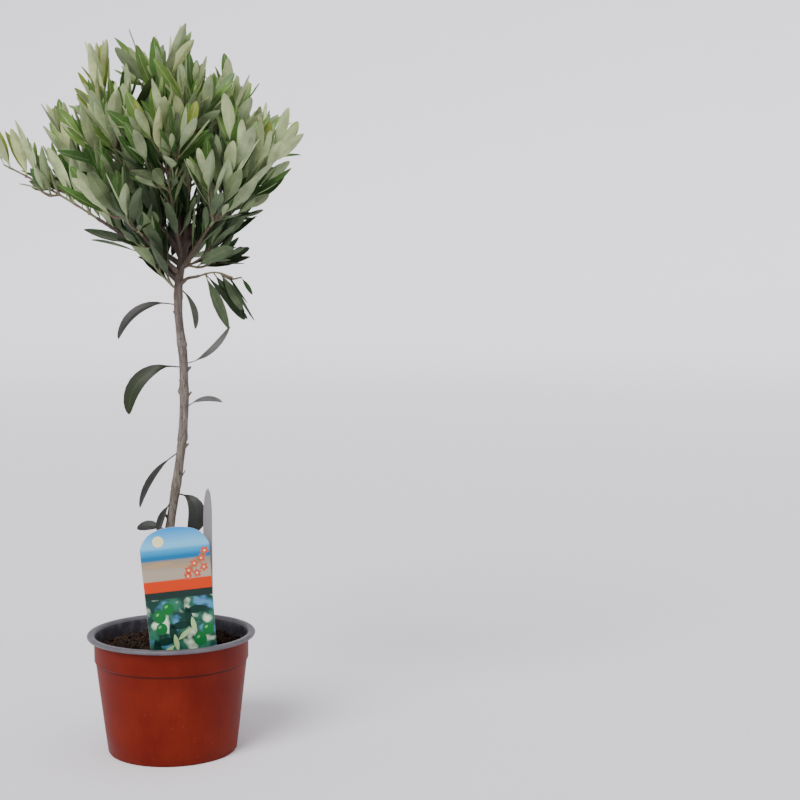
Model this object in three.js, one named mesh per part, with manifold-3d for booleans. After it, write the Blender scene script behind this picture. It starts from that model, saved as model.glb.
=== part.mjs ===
// A young olive tree in a 13 cm nursery pot, in millimetres with +Z up.
// The origin is the middle of the pot's underside, +X is to the right of the pot seen from the front,
// and the front is the side of the plant label, at -Y.
import * as THREE from 'three';
import { mergeVertices } from 'three/addons/utils/BufferGeometryUtils.js';
import Module from 'manifold-3d';

const wasm = await Module();
wasm.setup();

// Driving dimensions. CLEARANCE is the gap between two pieces that touch, and SLIVER is the height below
// which a bump left by joining solids is flattened.
const CLEARANCE = 0.3;
const SLIVER = 0.005;
const UP = new THREE.Vector3(0, 0, 1);

// Pot: a thermoformed shell with a rolled lip, a step under its upper band and a raised floor
const POT_HEIGHT = 93;
const RIM_RADIUS = 65;
const LIP_WIDTH = 5.4;
const LIP_HEIGHT = 4.6;
const WALL = 2;
const BAND_BOTTOM = 71;
const BAND_STEP = 1.2;
const BASE_RADIUS = 50;
const FOOT_WIDTH = 8;
const FLOOR_LIFT = 2;
const CENTRE_PAD_RADIUS = 15;
const FOOT_EDGE = { inset: 1, height: 1.5 };
const BAND_EDGE = { inset: 0.3, height: 1 };
const DRAIN_HOLES = 8;
const DRAIN_RADIUS = 4;
const DRAIN_CIRCLE = 28;
const POT_SIDES = 30;
const DRAIN_SIDES = 6;

// Soil: a low mound of peat with a level patch round the foot of the trunk
const GROUND = 84;
const SOIL_EDGE = 80.5;
const SOIL_RINGS = 4;
const SOIL_ROUGHNESS = 1.3;
const SOIL_WAVES = { x: 5.3, y: 6.1, slant: 3.7, slantShare: 0.6 };
const FOOT_PATCH = 9;

// Plant label and marker stick, both pushed into the soil near the front. Their own origins are SEATING
// below the ground.
const SEATING = 2;
const LABEL = { width: 52, foot: 49, shoulder: 88, arch: 12, thickness: 1, tongue: 20, depth: 34 };
const LABEL_PLACE = { x: 15.2, y: -38, yaw: 10, tilt: -4.5 };
const STICK = { width: 11, height: 127, point: 26, thickness: 1, depth: 24 };
const STICK_PLACE = { x: 32, y: -26, yaw: -50 };

// Trunk, measured up from the ground. Each bend shifts the centre line by x and y between two heights.
const TRUNK_FOOT = -6;
const TRUNK_HEIGHT = 314;
const TRUNK_BENDS = [
  { from: 30, to: 190, x: 17.5, y: 3 },
  { from: 213, to: 262, x: -3, y: -4 },
  { from: 268, to: 330, x: 7, y: 2 },
];
const TRUNK_SIDES = 8;
const TRUNK_STEPS = 26;
const TRUNK_CROWDING = 1.25;
const TRUNK_RADIUS = { top: 3.1, taper: 0.5, flare: 2.1, flareHeight: 12 };
const KNOTS = { first: 50, spacing: 36.5, swelling: 0.5, halfHeight: 5 };

// Boughs, each carrying one mass of foliage; a mass with no bough springs from the trunk itself. Heights
// are above the ground and angles in degrees, with azimuth 0 to the right, 90 to the back, 180 to the
// left and 270 to the front. bend and lift pull the bough and the mass's stem upwards, or down where
// they are negative, and uplift turns the leaves upwards.
const LIMBS = [
  { name: 'low_left', height: 280, azimuth: 187, rise: 44, radius: 1.9, bough: 76, bend: -0.3,
    stem: 80, lift: -0.15, shoot: 18, reach: 52, uplift: 1.6 },
  { name: 'low_front', height: 286, azimuth: 232, rise: 36, radius: 1.8, bough: 46, bend: 0.1,
    stem: 58, lift: 0.5, shoot: 34, reach: 52, uplift: 0.7 },
  { name: 'low_right', height: 277, azimuth: 340, rise: 38, radius: 1.5, bough: 18, bend: -0.9,
    stem: 30, lift: -0.9, shoot: 18, reach: 44, uplift: -1.5 },
  { name: 'low_back', height: 280, azimuth: 130, rise: 34, radius: 1.8, bough: 44, bend: 0.1,
    stem: 56, lift: 0.6, shoot: 32, reach: 52, uplift: 0.6 },
  { name: 'left', height: 293, azimuth: 174, rise: 35, radius: 1.9, bough: 58, bend: 0.1,
    stem: 86, lift: 1.4, shoot: 36, reach: 56, uplift: 0.6 },
  { name: 'front_left', height: 302, azimuth: 214, rise: 48, radius: 1.8, bough: 44, bend: 0.2,
    stem: 76, lift: 0.9, shoot: 38, reach: 56, uplift: 0.4 },
  { name: 'front_right', height: 290, azimuth: 316, rise: 39, radius: 1.8, bough: 46, bend: 0.2,
    stem: 72, lift: 0.9, shoot: 38, reach: 54, uplift: 0.5 },
  { name: 'back_right', height: 296, azimuth: 52, rise: 43, radius: 1.8, bough: 46, bend: 0.2,
    stem: 76, lift: 0.9, shoot: 38, reach: 54, uplift: 0.4 },
  { name: 'top_left', height: 299, azimuth: 179, rise: 55, radius: 2, bough: 47, bend: 0.3,
    stem: 113, lift: 1.2, shoot: 36, reach: 60, uplift: 0.3 },
  { name: 'back', height: 304, azimuth: 100, rise: 56, radius: 1.9, bough: 40, bend: 0.3,
    stem: 84, lift: 0.6, shoot: 38, reach: 54, uplift: 0.3 },
  { name: 'front', height: 298, azimuth: 264, rise: 50, radius: 1.9, bough: 40, bend: 0.3,
    stem: 80, lift: 0.7, shoot: 38, reach: 54, uplift: 0.3 },
  { name: 'right', height: 308, azimuth: 4, rise: 38, radius: 2.3, bough: 32, bend: 0.2,
    stem: 62, lift: 1.2, shoot: 34, reach: 50, uplift: 0.5 },
  { name: 'top_right', height: 311, azimuth: 22, rise: 62, radius: 2, bough: 32, bend: 0.3,
    stem: 86, lift: 0.4, shoot: 36, reach: 54, uplift: 0.3 },
  { name: 'top_front', height: 312, azimuth: 290, rise: 66, radius: 1.9, bough: 34, bend: 0.3,
    stem: 84, lift: 0.4, shoot: 34, reach: 54, uplift: 0.3 },
  { name: 'leader', height: 306, azimuth: 170, rise: 78, radius: 2.3, bough: 42, bend: 0.4,
    stem: 96, lift: 0.6, shoot: 36, reach: 56, uplift: 0.3 },
  { name: 'inner_left', height: 273, azimuth: 206, rise: 44, radius: 1.6, bough: 0, bend: 0,
    stem: 48, lift: 0.5, shoot: 18, reach: 50, uplift: 0.5 },
  { name: 'inner_right', height: 289, azimuth: 350, rise: 30, radius: 1.6, bough: 0, bend: 0,
    stem: 44, lift: 0.5, shoot: 18, reach: 48, uplift: 0.5 },
  { name: 'inner_back', height: 286, azimuth: 80, rise: 40, radius: 1.6, bough: 0, bend: 0,
    stem: 44, lift: 0.5, shoot: 18, reach: 48, uplift: 0.5 },
];
const BOUGH_SIDES = 5;
const BOUGH_STEP = 14;
const BOUGH_TIP = 0.64;
const UPRIGHT = 0.98;

// Twigs of a mass: a stem with side shoots, all growing from nodes that turn by a right angle
const STEM_SIDES = 3;
const SHOOT_SIDES = 3;
const STEM_FIT = 0.95;
const STEM_TIP_RADIUS = 0.75;
const SHOOT_RADIUS = { base: 1.1, tip: 0.7 };
const NODE_FIRST = 7;
const NODE_SPACING = 13.5;
const SHOOT_ZONE = 0.75;
const SHOOT_SHARE = 0.56;
const SHOOT_SPREAD = 38;
const SHOOT_PULL = 1.2;
const SHOOT_STEP = 18;
const SHOOT_LENGTH = { atBase: 1.1, lossToTip: 0.5, least: 0.8, variation: 0.4 };

// Leaves: in pairs, longest in the middle of a shoot, on a short stalk sunk into the twig
const LEAF_LENGTH = 47;
const LEAF_SLENDERNESS = 0.25;
const LEAF_DEPTH = 1.1;
const ROOT_DROP = 1;
const LEAF_MIDDLE = 0.54;
const BLADE_START = 0.17;
const BLADE_START_WIDTH = 0.4;
const LEAF_SPREAD = { base: 42, tip: 16 };
const LEAF_TRIES = 6;

// How far a leaf strays from its pair's place, in degrees, and how its size and curl vary
const LEAF_STRAY = { turn: 14, spread: 7, face: 24, perTry: 0.6 };
const LEAF_SIZE = { lossAtTip: 0.45, lossAtBase: 0.1, variation: 0.14 };
const LEAF_CURL = { mean: 0.04, variation: 0.1 };
const SEED = 20519;

// Leaves that spring from the trunk itself, at a height above the ground. bend curves them up or down by
// that many radians, and roll turns their upper face from the sky towards the front.
const TRUNK_LEAVES = [
  { name: 'upper_left', height: 262, azimuth: 184, rise: 18, length: 56, width: 9, bend: -1.6, roll: 50 },
  { name: 'upper_right', height: 217, azimuth: 352, rise: 12, length: 46, width: 9, bend: 0.9, roll: 42 },
  { name: 'middle_left', height: 214, azimuth: 186, rise: 16, length: 62, width: 13, bend: -1.9, roll: 66 },
  { name: 'middle_right', height: 182, azimuth: 8, rise: 40, length: 28, width: 6, bend: -1.1, roll: 40 },
  { name: 'upper_back', height: 276, azimuth: 60, rise: -24, length: 38, width: 10, bend: -1.2, roll: 20 },
  { name: 'low_left', height: 150, azimuth: 196, rise: -30, length: 52, width: 8, bend: -0.8, roll: 30 },
  { name: 'foot_right', height: 116, azimuth: 336, rise: 10, length: 42, width: 14, bend: -2.7, roll: 50 },
  { name: 'foot_left', height: 114, azimuth: 200, rise: -52, length: 26, width: 9, bend: -0.5, roll: 24 },
  { name: 'foot_small', height: 87, azimuth: 166, rise: 24, length: 24, width: 9, bend: -0.8, roll: 50 },
];
const TRUNK_LEAF_STATIONS = [0, 0.16, 0.42, 0.72, 1];
const TRUNK_LEAF_SHAPE = [0.1, 0.16, 0.95, 0.85, 0];

const degrees = THREE.MathUtils.degToRad;
const mix = THREE.MathUtils.lerp;
const smooth = THREE.MathUtils.smoothstep;

// A number from 0 to 1 that depends only on its whole-number keys, by multiplying them into each other
function chance(...keys) {
  const modulus = 2147483647;
  let value = SEED;
  for (const key of keys) value = (value * 16807 + (key + 1) * 7919) % modulus;
  value = (value * 48271) % modulus;
  return ((value * 16807) % modulus) / modulus;
}

// The same, spread evenly from -1 to 1
function sway(...keys) {
  return 2 * chance(...keys) - 1;
}

function heading(azimuth, rise) {
  const level = Math.cos(degrees(rise));
  return new THREE.Vector3(
    level * Math.cos(degrees(azimuth)),
    level * Math.sin(degrees(azimuth)),
    Math.sin(degrees(rise)),
  );
}

// Solids and geometries

function toSolid(geometry) {
  const bare = geometry.clone();
  bare.deleteAttribute('normal');
  bare.deleteAttribute('uv');
  const merged = mergeVertices(bare);
  const corners = [];
  const index = merged.index.array;
  for (let i = 0; i < index.length; i += 3) {
    const [a, b, c] = [index[i], index[i + 1], index[i + 2]];
    if (a !== b && b !== c && c !== a) corners.push(a, b, c);
  }
  return new wasm.Manifold(new wasm.Mesh({
    numProp: 3,
    vertProperties: new Float32Array(merged.attributes.position.array),
    triVerts: new Uint32Array(corners),
  }));
}

function toGeometry(solid) {
  const mesh = solid.getMesh();
  const geometry = new THREE.BufferGeometry();
  geometry.setAttribute('position', new THREE.BufferAttribute(mesh.vertProperties, 3));
  geometry.setIndex(new THREE.BufferAttribute(mesh.triVerts, 1));
  geometry.computeVertexNormals();
  return geometry;
}

// The largest body of a solid, without loose scraps, sealed hollows and slivers
function largestBody(solid) {
  const bodies = solid.simplify(SLIVER).decompose();
  return bodies.reduce((best, body) => (body.volume() > best.volume() ? body : best));
}

// A closed rod whose corners, on a circle of radius 1 at each station, are moved by place(station, x, z)
function sweep(stations, sides, place) {
  const rod = new THREE.CylinderGeometry(1, 1, 1, sides, stations - 1);
  const position = rod.attributes.position;
  for (let i = 0; i < position.count; i++) {
    const station = Math.round((position.getY(i) + 0.5) * (stations - 1));
    const corner = place(station, position.getX(i), position.getZ(i));
    position.setXYZ(i, corner.x, corner.y, corner.z);
  }
  return toSolid(rod);
}

// Paths

function grow(start, direction, pull, length, step) {
  const steps = Math.max(2, Math.round(length / step));
  const course = direction.clone();
  const points = [start.clone()];
  for (let i = 0; i < steps; i++) {
    points.push(points[i].clone().addScaledVector(course, length / steps));
    course.addScaledVector(UP, pull / steps).normalize();
  }
  return toPath(points);
}

// Adds to each point the path's direction there and two directions across it that don't twist
function toPath(points) {
  const side = new THREE.Vector3();
  return points.map((point, i) => {
    const before = points[Math.max(i - 1, 0)];
    const after = points[Math.min(i + 1, points.length - 1)];
    const along = after.clone().sub(before).normalize();
    if (i === 0) side.crossVectors(Math.abs(along.z) < UPRIGHT ? UP : new THREE.Vector3(0, 1, 0), along);
    side.addScaledVector(along, -side.dot(along)).normalize();
    return { point, along, side: side.clone(), across: side.clone().cross(along) };
  });
}

function spotOn(path, fraction) {
  const place = THREE.MathUtils.clamp(fraction, 0, 1) * (path.length - 1);
  const index = Math.min(Math.floor(place), path.length - 2);
  const point = path[index].point.clone().lerp(path[index + 1].point, place - index);
  return { ...path[index], point };
}

function limb(path, sides, radiusAt) {
  return sweep(path.length, sides, (station, x, z) => {
    const { point, side, across } = path[station];
    const radius = radiusAt(station / (path.length - 1));
    return point.clone().addScaledVector(side, x * radius).addScaledVector(across, z * radius);
  });
}

// Leaf: flat above with a ridge below, from a point on the twig's centre line, a little below its node,
// through its widest place to its tip
function leafSolid(leaf) {
  const middle = leafPoint(leaf, LEAF_MIDDLE);
  return sweep(3, 3, (station, x, z) => {
    if (station === 0) return leaf.root.clone();
    if (station === 2) return leafPoint(leaf, 1);
    return leafCorner(leaf, middle, leaf.width, 0, x, z);
  });
}

// The blade without its stalk, larger all round by the clearance it needs
function roomyBlade(leaf) {
  const fractions = [BLADE_START, LEAF_MIDDLE, 1];
  const widths = [leaf.width * BLADE_START_WIDTH, leaf.width, 0];
  return sweep(3, 3, (station, x, z) => {
    const middle = leafPoint(leaf, fractions[station]);
    return leafCorner(leaf, middle, widths[station], CLEARANCE, x, z);
  });
}

function leafPoint(leaf, fraction) {
  const point = leaf.node.clone().addScaledVector(leaf.along, leaf.length * fraction);
  return point.addScaledVector(leaf.facing, leaf.length * leaf.curl * fraction * fraction);
}

function leafCorner(leaf, middle, width, margin, x, z) {
  const half = LEAF_DEPTH / 2 + margin;
  if (z > 0.5) return middle.clone().addScaledVector(leaf.facing, -half);
  const corner = middle.clone().addScaledVector(leaf.facing, half);
  return corner.addScaledVector(leaf.across, Math.sign(x) * (width / 2 + margin));
}

// Trunk

function trunkPoint(height) {
  const point = new THREE.Vector3(0, 0, height);
  for (const bend of TRUNK_BENDS) {
    const share = smooth(height, bend.from, bend.to);
    point.x += bend.x * share;
    point.y += bend.y * share;
  }
  return point;
}

function trunkRadius(height) {
  const fromKnot = (height - KNOTS.first) / KNOTS.spacing;
  const nearest = Math.max(Math.round(fromKnot), 0);
  const offset = ((fromKnot - nearest) * KNOTS.spacing) / KNOTS.halfHeight;
  const knot = KNOTS.swelling * Math.exp(-offset * offset);
  const taper = TRUNK_RADIUS.taper * (1 - height / TRUNK_HEIGHT);
  return TRUNK_RADIUS.top + taper + TRUNK_RADIUS.flare * Math.exp(-height / TRUNK_RADIUS.flareHeight) + knot;
}

// Stations are close together at the flare. The foot is cut level.
function trunkSolid(margin) {
  const heights = [];
  for (let i = 0; i <= TRUNK_STEPS; i++) heights.push(TRUNK_HEIGHT * (i / TRUNK_STEPS) ** TRUNK_CROWDING);
  return sweep(heights.length, TRUNK_SIDES, (station, x, z) => {
    const height = heights[station];
    const radius = trunkRadius(height) + margin;
    return trunkPoint(height).add(new THREE.Vector3(z * radius, x * radius, 0));
  });
}

// Boughs and their masses

function boughPath(row) {
  const point = trunkPoint(row.height);
  const along = heading(row.azimuth, row.rise);
  return row.bough === 0 ? [{ point, along }] : grow(point, along, row.bend, row.bough, BOUGH_STEP);
}

function boughSolid(row, path, margin) {
  return limb(path, BOUGH_SIDES, (fraction) => mix(row.radius, row.radius * BOUGH_TIP, fraction) + margin);
}

// The stem of a mass goes on from its bough's tip, and side shoots spring from its nodes
function growTwigs(row, mass, bough) {
  const tip = bough[bough.length - 1];
  const start = tip.point.clone().addScaledVector(tip.along, CLEARANCE);
  const stem = grow(start, tip.along, row.lift, row.stem, SHOOT_STEP);
  const from = row.radius * BOUGH_TIP * STEM_FIT;
  const twigs = [{ path: stem, length: row.stem, from, to: STEM_TIP_RADIUS, sides: STEM_SIDES }];
  for (let node = 0; node < nodeCount(row.stem) * SHOOT_ZONE; node++) {
    for (const side of [0, 1]) {
      if (chance(mass, node, side, 1) > SHOOT_SHARE) continue;
      const fraction = (NODE_FIRST + node * NODE_SPACING) / row.stem;
      const spot = spotOn(stem, fraction);
      const course = spot.along.clone().multiplyScalar(Math.cos(degrees(SHOOT_SPREAD)));
      course.addScaledVector(outward(spot, nodeTurn(mass, 0, node, side)), Math.sin(degrees(SHOOT_SPREAD)));
      const share = SHOOT_LENGTH.atBase - SHOOT_LENGTH.lossToTip * fraction;
      const luck = SHOOT_LENGTH.least + SHOOT_LENGTH.variation * chance(mass, node, side, 2);
      const length = row.shoot * share * luck;
      const path = grow(spot.point, course, SHOOT_PULL, length, SHOOT_STEP);
      twigs.push({ path, length, from: SHOOT_RADIUS.base, to: SHOOT_RADIUS.tip, sides: SHOOT_SIDES });
    }
  }
  return twigs;
}

function nodeCount(length) {
  return Math.max(1, Math.floor((length - NODE_FIRST) / NODE_SPACING) + 1);
}

// The angle round its twig of the leaf or shoot on one side of a node
function nodeTurn(mass, twig, node, side) {
  return 360 * chance(mass, twig, 5) + 90 * node + 180 * side;
}

function outward(spot, turn) {
  const out = spot.side.clone().multiplyScalar(Math.cos(degrees(turn)));
  return out.addScaledVector(spot.across, Math.sin(degrees(turn)));
}

function twigSolid(twig, margin) {
  return limb(twig.path, twig.sides, (fraction) => mix(twig.from, twig.to, fraction) + margin);
}

// One leaf of a pair. attempt turns and tips it a little further each time.
function leafOn(row, mass, twigIndex, twig, node, side, attempt) {
  const keys = [mass, twigIndex, node, side, attempt];
  const loose = 1 + LEAF_STRAY.perTry * attempt;
  const fraction = Math.min((NODE_FIRST + node * NODE_SPACING) / twig.length, 1);
  const spot = spotOn(twig.path, fraction);
  const turn = nodeTurn(mass, twigIndex, node, side) + LEAF_STRAY.turn * loose * sway(...keys, 1);
  const stray = LEAF_STRAY.spread * loose * sway(...keys, 2);
  const spread = degrees(mix(LEAF_SPREAD.base, LEAF_SPREAD.tip, fraction) + stray);
  const out = outward(spot, turn);
  const along = spot.along.clone().multiplyScalar(Math.cos(spread));
  along.addScaledVector(out, Math.sin(spread)).addScaledVector(UP, row.uplift).normalize();
  const facing = out.negate();
  facing.addScaledVector(along, -facing.dot(along)).normalize();
  facing.applyAxisAngle(along, degrees(LEAF_STRAY.face * sway(...keys, 3)));
  const loss = LEAF_SIZE.lossAtTip * fraction ** 3 + LEAF_SIZE.lossAtBase * (1 - fraction);
  const length = LEAF_LENGTH * (1 - loss) * (1 + LEAF_SIZE.variation * sway(mass, twigIndex, node, 4));
  return {
    root: spotOn(twig.path, fraction - ROOT_DROP / twig.length).point,
    node: spot.point,
    along,
    facing,
    across: facing.clone().cross(along),
    length,
    width: length * LEAF_SLENDERNESS,
    curl: LEAF_CURL.mean + LEAF_CURL.variation * sway(...keys, 5),
  };
}

// A leaf that spreads from the trunk and curves in the upright plane of its azimuth
function trunkLeafSolid(row) {
  const start = trunkPoint(row.height);
  const first = heading(row.azimuth, row.rise);
  const foot = start.addScaledVector(first, trunkRadius(row.height) / Math.cos(degrees(row.rise)));
  const level = new THREE.Vector3().crossVectors(UP, first).normalize();
  const roll = degrees(row.roll) * Math.sign(level.y);
  const last = TRUNK_LEAF_STATIONS.length - 1;
  const points = [foot];
  const course = first.clone();
  for (let i = 1; i <= last; i++) {
    const share = TRUNK_LEAF_STATIONS[i] - TRUNK_LEAF_STATIONS[i - 1];
    course.applyAxisAngle(level, -row.bend * share);
    points.push(points[i - 1].clone().addScaledVector(course, row.length * share));
  }
  const leaf = sweep(points.length, 3, (station, x, z) => {
    const next = points[Math.min(station + 1, last)];
    const along = next.clone().sub(points[Math.max(station - 1, 0)]).normalize();
    const across = level.clone().applyAxisAngle(along, roll);
    const below = new THREE.Vector3().crossVectors(across, along);
    const point = points[station].clone();
    if (station === last) return point;
    if (z > 0.5) return point.addScaledVector(below, LEAF_DEPTH);
    return point.addScaledVector(across, Math.sign(x) * row.width * 0.5 * TRUNK_LEAF_SHAPE[station]);
  });
  return largestBody(leaf.subtract(sheath));
}

// Space taken by the pieces so far, so that a leaf or twig that would touch one is left out

function boxesMeet(a, b) {
  return [0, 1, 2].every((axis) => a.min[axis] <= b.max[axis] && b.min[axis] <= a.max[axis]);
}

function touches(solid, taken) {
  const box = solid.boundingBox();
  return taken.some((other) => {
    if (!boxesMeet(box, other.box)) return false;
    const shared = solid.intersect(other.solid);
    const meets = !shared.isEmpty();
    shared.delete();
    return meets;
  });
}

function take(taken, solid, mass = null) {
  taken.push({ solid, box: solid.boundingBox(), mass });
}

function withinReach(leaf, stem, reach) {
  const tip = leafPoint(leaf, 1);
  return stem.some((spot) => spot.point.distanceTo(tip) < reach);
}

// Adds a twig's leaves, pair by pair, each in the first of its attempts that is clear of everything
function addLeaves(row, mass, twigIndex, twig, stem, pieces, taken) {
  for (let node = 0; node < nodeCount(twig.length); node++) {
    for (const side of [0, 1]) {
      for (let attempt = 0; attempt < LEAF_TRIES; attempt++) {
        const leaf = leafOn(row, mass, twigIndex, twig, node, side, attempt);
        if (!withinReach(leaf, stem, row.reach)) continue;
        const solid = leafSolid(leaf);
        const others = taken.filter((piece) => piece.mass !== mass);
        if (touches(roomyBlade(leaf), taken) || touches(solid, others)) continue;
        pieces.push(solid);
        take(taken, solid, mass);
        break;
      }
    }
  }
}

// Pot, soil, label and stick

function lathe(path, divisions) {
  const geometry = new THREE.LatheGeometry(path.getPoints(divisions), POT_SIDES);
  return toSolid(geometry.rotateX(Math.PI / 2));
}

const LIP_BOTTOM = POT_HEIGHT - LIP_HEIGHT;
const BAND_TOP_RADIUS = RIM_RADIUS - LIP_WIDTH;
const WALL_TOP_RADIUS = BAND_TOP_RADIUS - BAND_STEP;
const FLOOR_TOP = FLOOR_LIFT + WALL;

function innerRadius(height) {
  return mix(BASE_RADIUS, WALL_TOP_RADIUS, height / BAND_BOTTOM) - WALL;
}

function potSolid() {
  const round = LIP_HEIGHT / 2;
  const profile = new THREE.Path();
  profile.moveTo(0, 0);
  profile.lineTo(CENTRE_PAD_RADIUS, 0);
  profile.lineTo(CENTRE_PAD_RADIUS + FLOOR_LIFT, FLOOR_LIFT);
  profile.lineTo(BASE_RADIUS - FOOT_WIDTH - FLOOR_LIFT, FLOOR_LIFT);
  profile.lineTo(BASE_RADIUS - FOOT_WIDTH, 0);
  profile.lineTo(BASE_RADIUS - FOOT_EDGE.inset, 0);
  profile.lineTo(BASE_RADIUS, FOOT_EDGE.height);
  profile.lineTo(WALL_TOP_RADIUS, BAND_BOTTOM);
  profile.lineTo(BAND_TOP_RADIUS - BAND_EDGE.inset, BAND_BOTTOM + BAND_EDGE.height);
  profile.lineTo(BAND_TOP_RADIUS, LIP_BOTTOM);
  profile.absarc(RIM_RADIUS - round, LIP_BOTTOM + round, round, -Math.PI / 2, Math.PI / 2, false);
  profile.lineTo(BAND_TOP_RADIUS, POT_HEIGHT);
  profile.lineTo(innerRadius(LIP_BOTTOM), LIP_BOTTOM);
  profile.lineTo(innerRadius(FLOOR_TOP), FLOOR_TOP);
  profile.lineTo(0, FLOOR_TOP);
  let pot = lathe(profile, 3);
  for (let i = 0; i < DRAIN_HOLES; i++) {
    const angle = (2 * Math.PI * (i + 0.5)) / DRAIN_HOLES;
    const drill = new THREE.CylinderGeometry(DRAIN_RADIUS, DRAIN_RADIUS, 3 * FLOOR_TOP, DRAIN_SIDES);
    drill.rotateX(Math.PI / 2);
    drill.translate(DRAIN_CIRCLE * Math.cos(angle), DRAIN_CIRCLE * Math.sin(angle), 0);
    pot = pot.subtract(toSolid(drill));
  }
  return pot;
}

function soilSolid() {
  const bottom = FLOOR_TOP + CLEARANCE;
  const edge = innerRadius(SOIL_EDGE) - CLEARANCE;
  const profile = new THREE.Path();
  profile.moveTo(0, bottom);
  profile.lineTo(innerRadius(bottom) - CLEARANCE, bottom);
  for (let ring = 0; ring <= SOIL_RINGS; ring++) {
    const share = ring / SOIL_RINGS;
    profile.lineTo(mix(edge, FOOT_PATCH, share), mix(SOIL_EDGE, GROUND, smooth(share, 0, 1)));
  }
  profile.lineTo(0, GROUND);
  const geometry = new THREE.LatheGeometry(profile.getPoints(1), POT_SIDES);
  geometry.rotateX(Math.PI / 2);
  const position = geometry.attributes.position;
  for (let i = 0; i < position.count; i++) {
    const [x, y, z] = [position.getX(i), position.getY(i), position.getZ(i)];
    const radius = Math.hypot(x, y);
    if (z < SOIL_EDGE - 1 || radius < FOOT_PATCH + 1) continue;
    const slant = SOIL_WAVES.slantShare * Math.sin((x - y) / SOIL_WAVES.slant);
    const waves = Math.sin(x / SOIL_WAVES.x + 1) * Math.cos(y / SOIL_WAVES.y) + slant;
    position.setZ(i, z + SOIL_ROUGHNESS * waves * smooth(radius, FOOT_PATCH, 2 * FOOT_PATCH));
  }
  return toSolid(geometry);
}

// Flat plates drawn in X and Z and given their thickness along Y
function plate(shape, thickness) {
  const settings = { depth: thickness, bevelEnabled: false, curveSegments: 8 };
  const geometry = new THREE.ExtrudeGeometry(shape, settings);
  return geometry.translate(0, 0, -thickness / 2).rotateX(Math.PI / 2);
}

function labelGeometry(margin) {
  const top = LABEL.width / 2 + margin;
  const foot = LABEL.foot / 2 + margin;
  const tongue = LABEL.tongue / 2 + margin;
  const bodyFoot = SEATING - margin;
  const sweepRadius = (top * top + LABEL.arch * LABEL.arch) / (2 * LABEL.arch);
  const halfAngle = Math.asin(top / sweepRadius);
  const centre = LABEL.shoulder + LABEL.arch - sweepRadius;
  const shape = new THREE.Shape();
  shape.moveTo(-tongue, bodyFoot);
  shape.lineTo(-tongue, -LABEL.depth * 0.6);
  shape.lineTo(0, -LABEL.depth - 2 * margin);
  shape.lineTo(tongue, -LABEL.depth * 0.6);
  shape.lineTo(tongue, bodyFoot);
  shape.lineTo(foot, bodyFoot);
  shape.lineTo(top, LABEL.shoulder);
  shape.absarc(0, centre, sweepRadius, Math.PI / 2 - halfAngle, Math.PI / 2 + halfAngle, false);
  shape.lineTo(-foot, bodyFoot);
  return plate(shape, LABEL.thickness + 2 * margin);
}

function stickGeometry(margin) {
  const half = STICK.width / 2 + margin;
  const shape = new THREE.Shape();
  shape.moveTo(-half, -STICK.depth - margin);
  shape.lineTo(half, -STICK.depth - margin);
  shape.lineTo(half, STICK.height - STICK.point);
  shape.quadraticCurveTo(half, STICK.height - STICK.point / 3, half / 4, STICK.height);
  shape.quadraticCurveTo(-half, STICK.height - STICK.point / 2, -half, STICK.height - 2 * STICK.point);
  return plate(shape, STICK.thickness + 2 * margin);
}

function placed(mesh, place) {
  mesh.position.set(place.x, place.y, GROUND - SEATING);
  mesh.rotation.set(0, degrees(place.tilt ?? 0), degrees(place.yaw), 'ZYX');
  mesh.updateMatrix();
  return mesh;
}

// Materials

function finish(color, roughness) {
  return new THREE.MeshStandardMaterial({ color, roughness, metalness: 0 });
}

const finishes = {
  pot: finish(0x7d2c1d, 0.45),
  soil: finish(0x2e221b, 0.95),
  label: finish(0x6fa7a0, 0.35),
  stick: finish(0xa09a9c, 0.5),
  bark: finish(0x8b8078, 0.85),
  twig: finish(0x77705a, 0.8),
  leaf: finish(0x6d8a52, 0.5),
};

// The pot with what stands in its soil

const pot = new THREE.Group();
pot.add(named('pot', potSolid(), finishes.pot));
const label = placed(named('plant_label', toSolid(labelGeometry(0)), finishes.label), LABEL_PLACE);
const stick = placed(named('marker_stick', toSolid(stickGeometry(0)), finishes.stick), STICK_PLACE);
const labelSlot = toSolid(labelGeometry(CLEARANCE).applyMatrix4(label.matrix));
const stickSlot = toSolid(stickGeometry(CLEARANCE).applyMatrix4(stick.matrix));
pot.add(named('soil', soilSolid().subtract(labelSlot).subtract(stickSlot), finishes.soil));
pot.add(label, stick);

function named(name, solid, material) {
  const mesh = new THREE.Mesh(toGeometry(solid), material);
  mesh.name = name;
  return mesh;
}

// The tree, in its own frame with its foot at the origin

const tree = new THREE.Group();
tree.position.set(TRUNK_FOOT, 0, GROUND + CLEARANCE);
const trunk = trunkSolid(0);
const sheath = trunkSolid(CLEARANCE);
tree.add(named('trunk', trunk, finishes.bark));
const taken = [];
take(taken, trunk);

const boughs = LIMBS.map(boughPath);
LIMBS.forEach((row, i) => {
  if (row.bough === 0) return;
  let solid = boughSolid(row, boughs[i], 0).subtract(sheath);
  for (let j = 0; j < i; j++) {
    if (LIMBS[j].bough > 0) solid = solid.subtract(boughSolid(LIMBS[j], boughs[j], CLEARANCE));
  }
  solid = largestBody(solid);
  tree.add(named(`bough_${row.name}`, solid, finishes.bark));
  take(taken, solid);
});

for (const row of TRUNK_LEAVES) {
  const solid = trunkLeafSolid(row);
  tree.add(named(`trunk_leaf_${row.name}`, solid, finishes.leaf));
  take(taken, solid);
}

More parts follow.
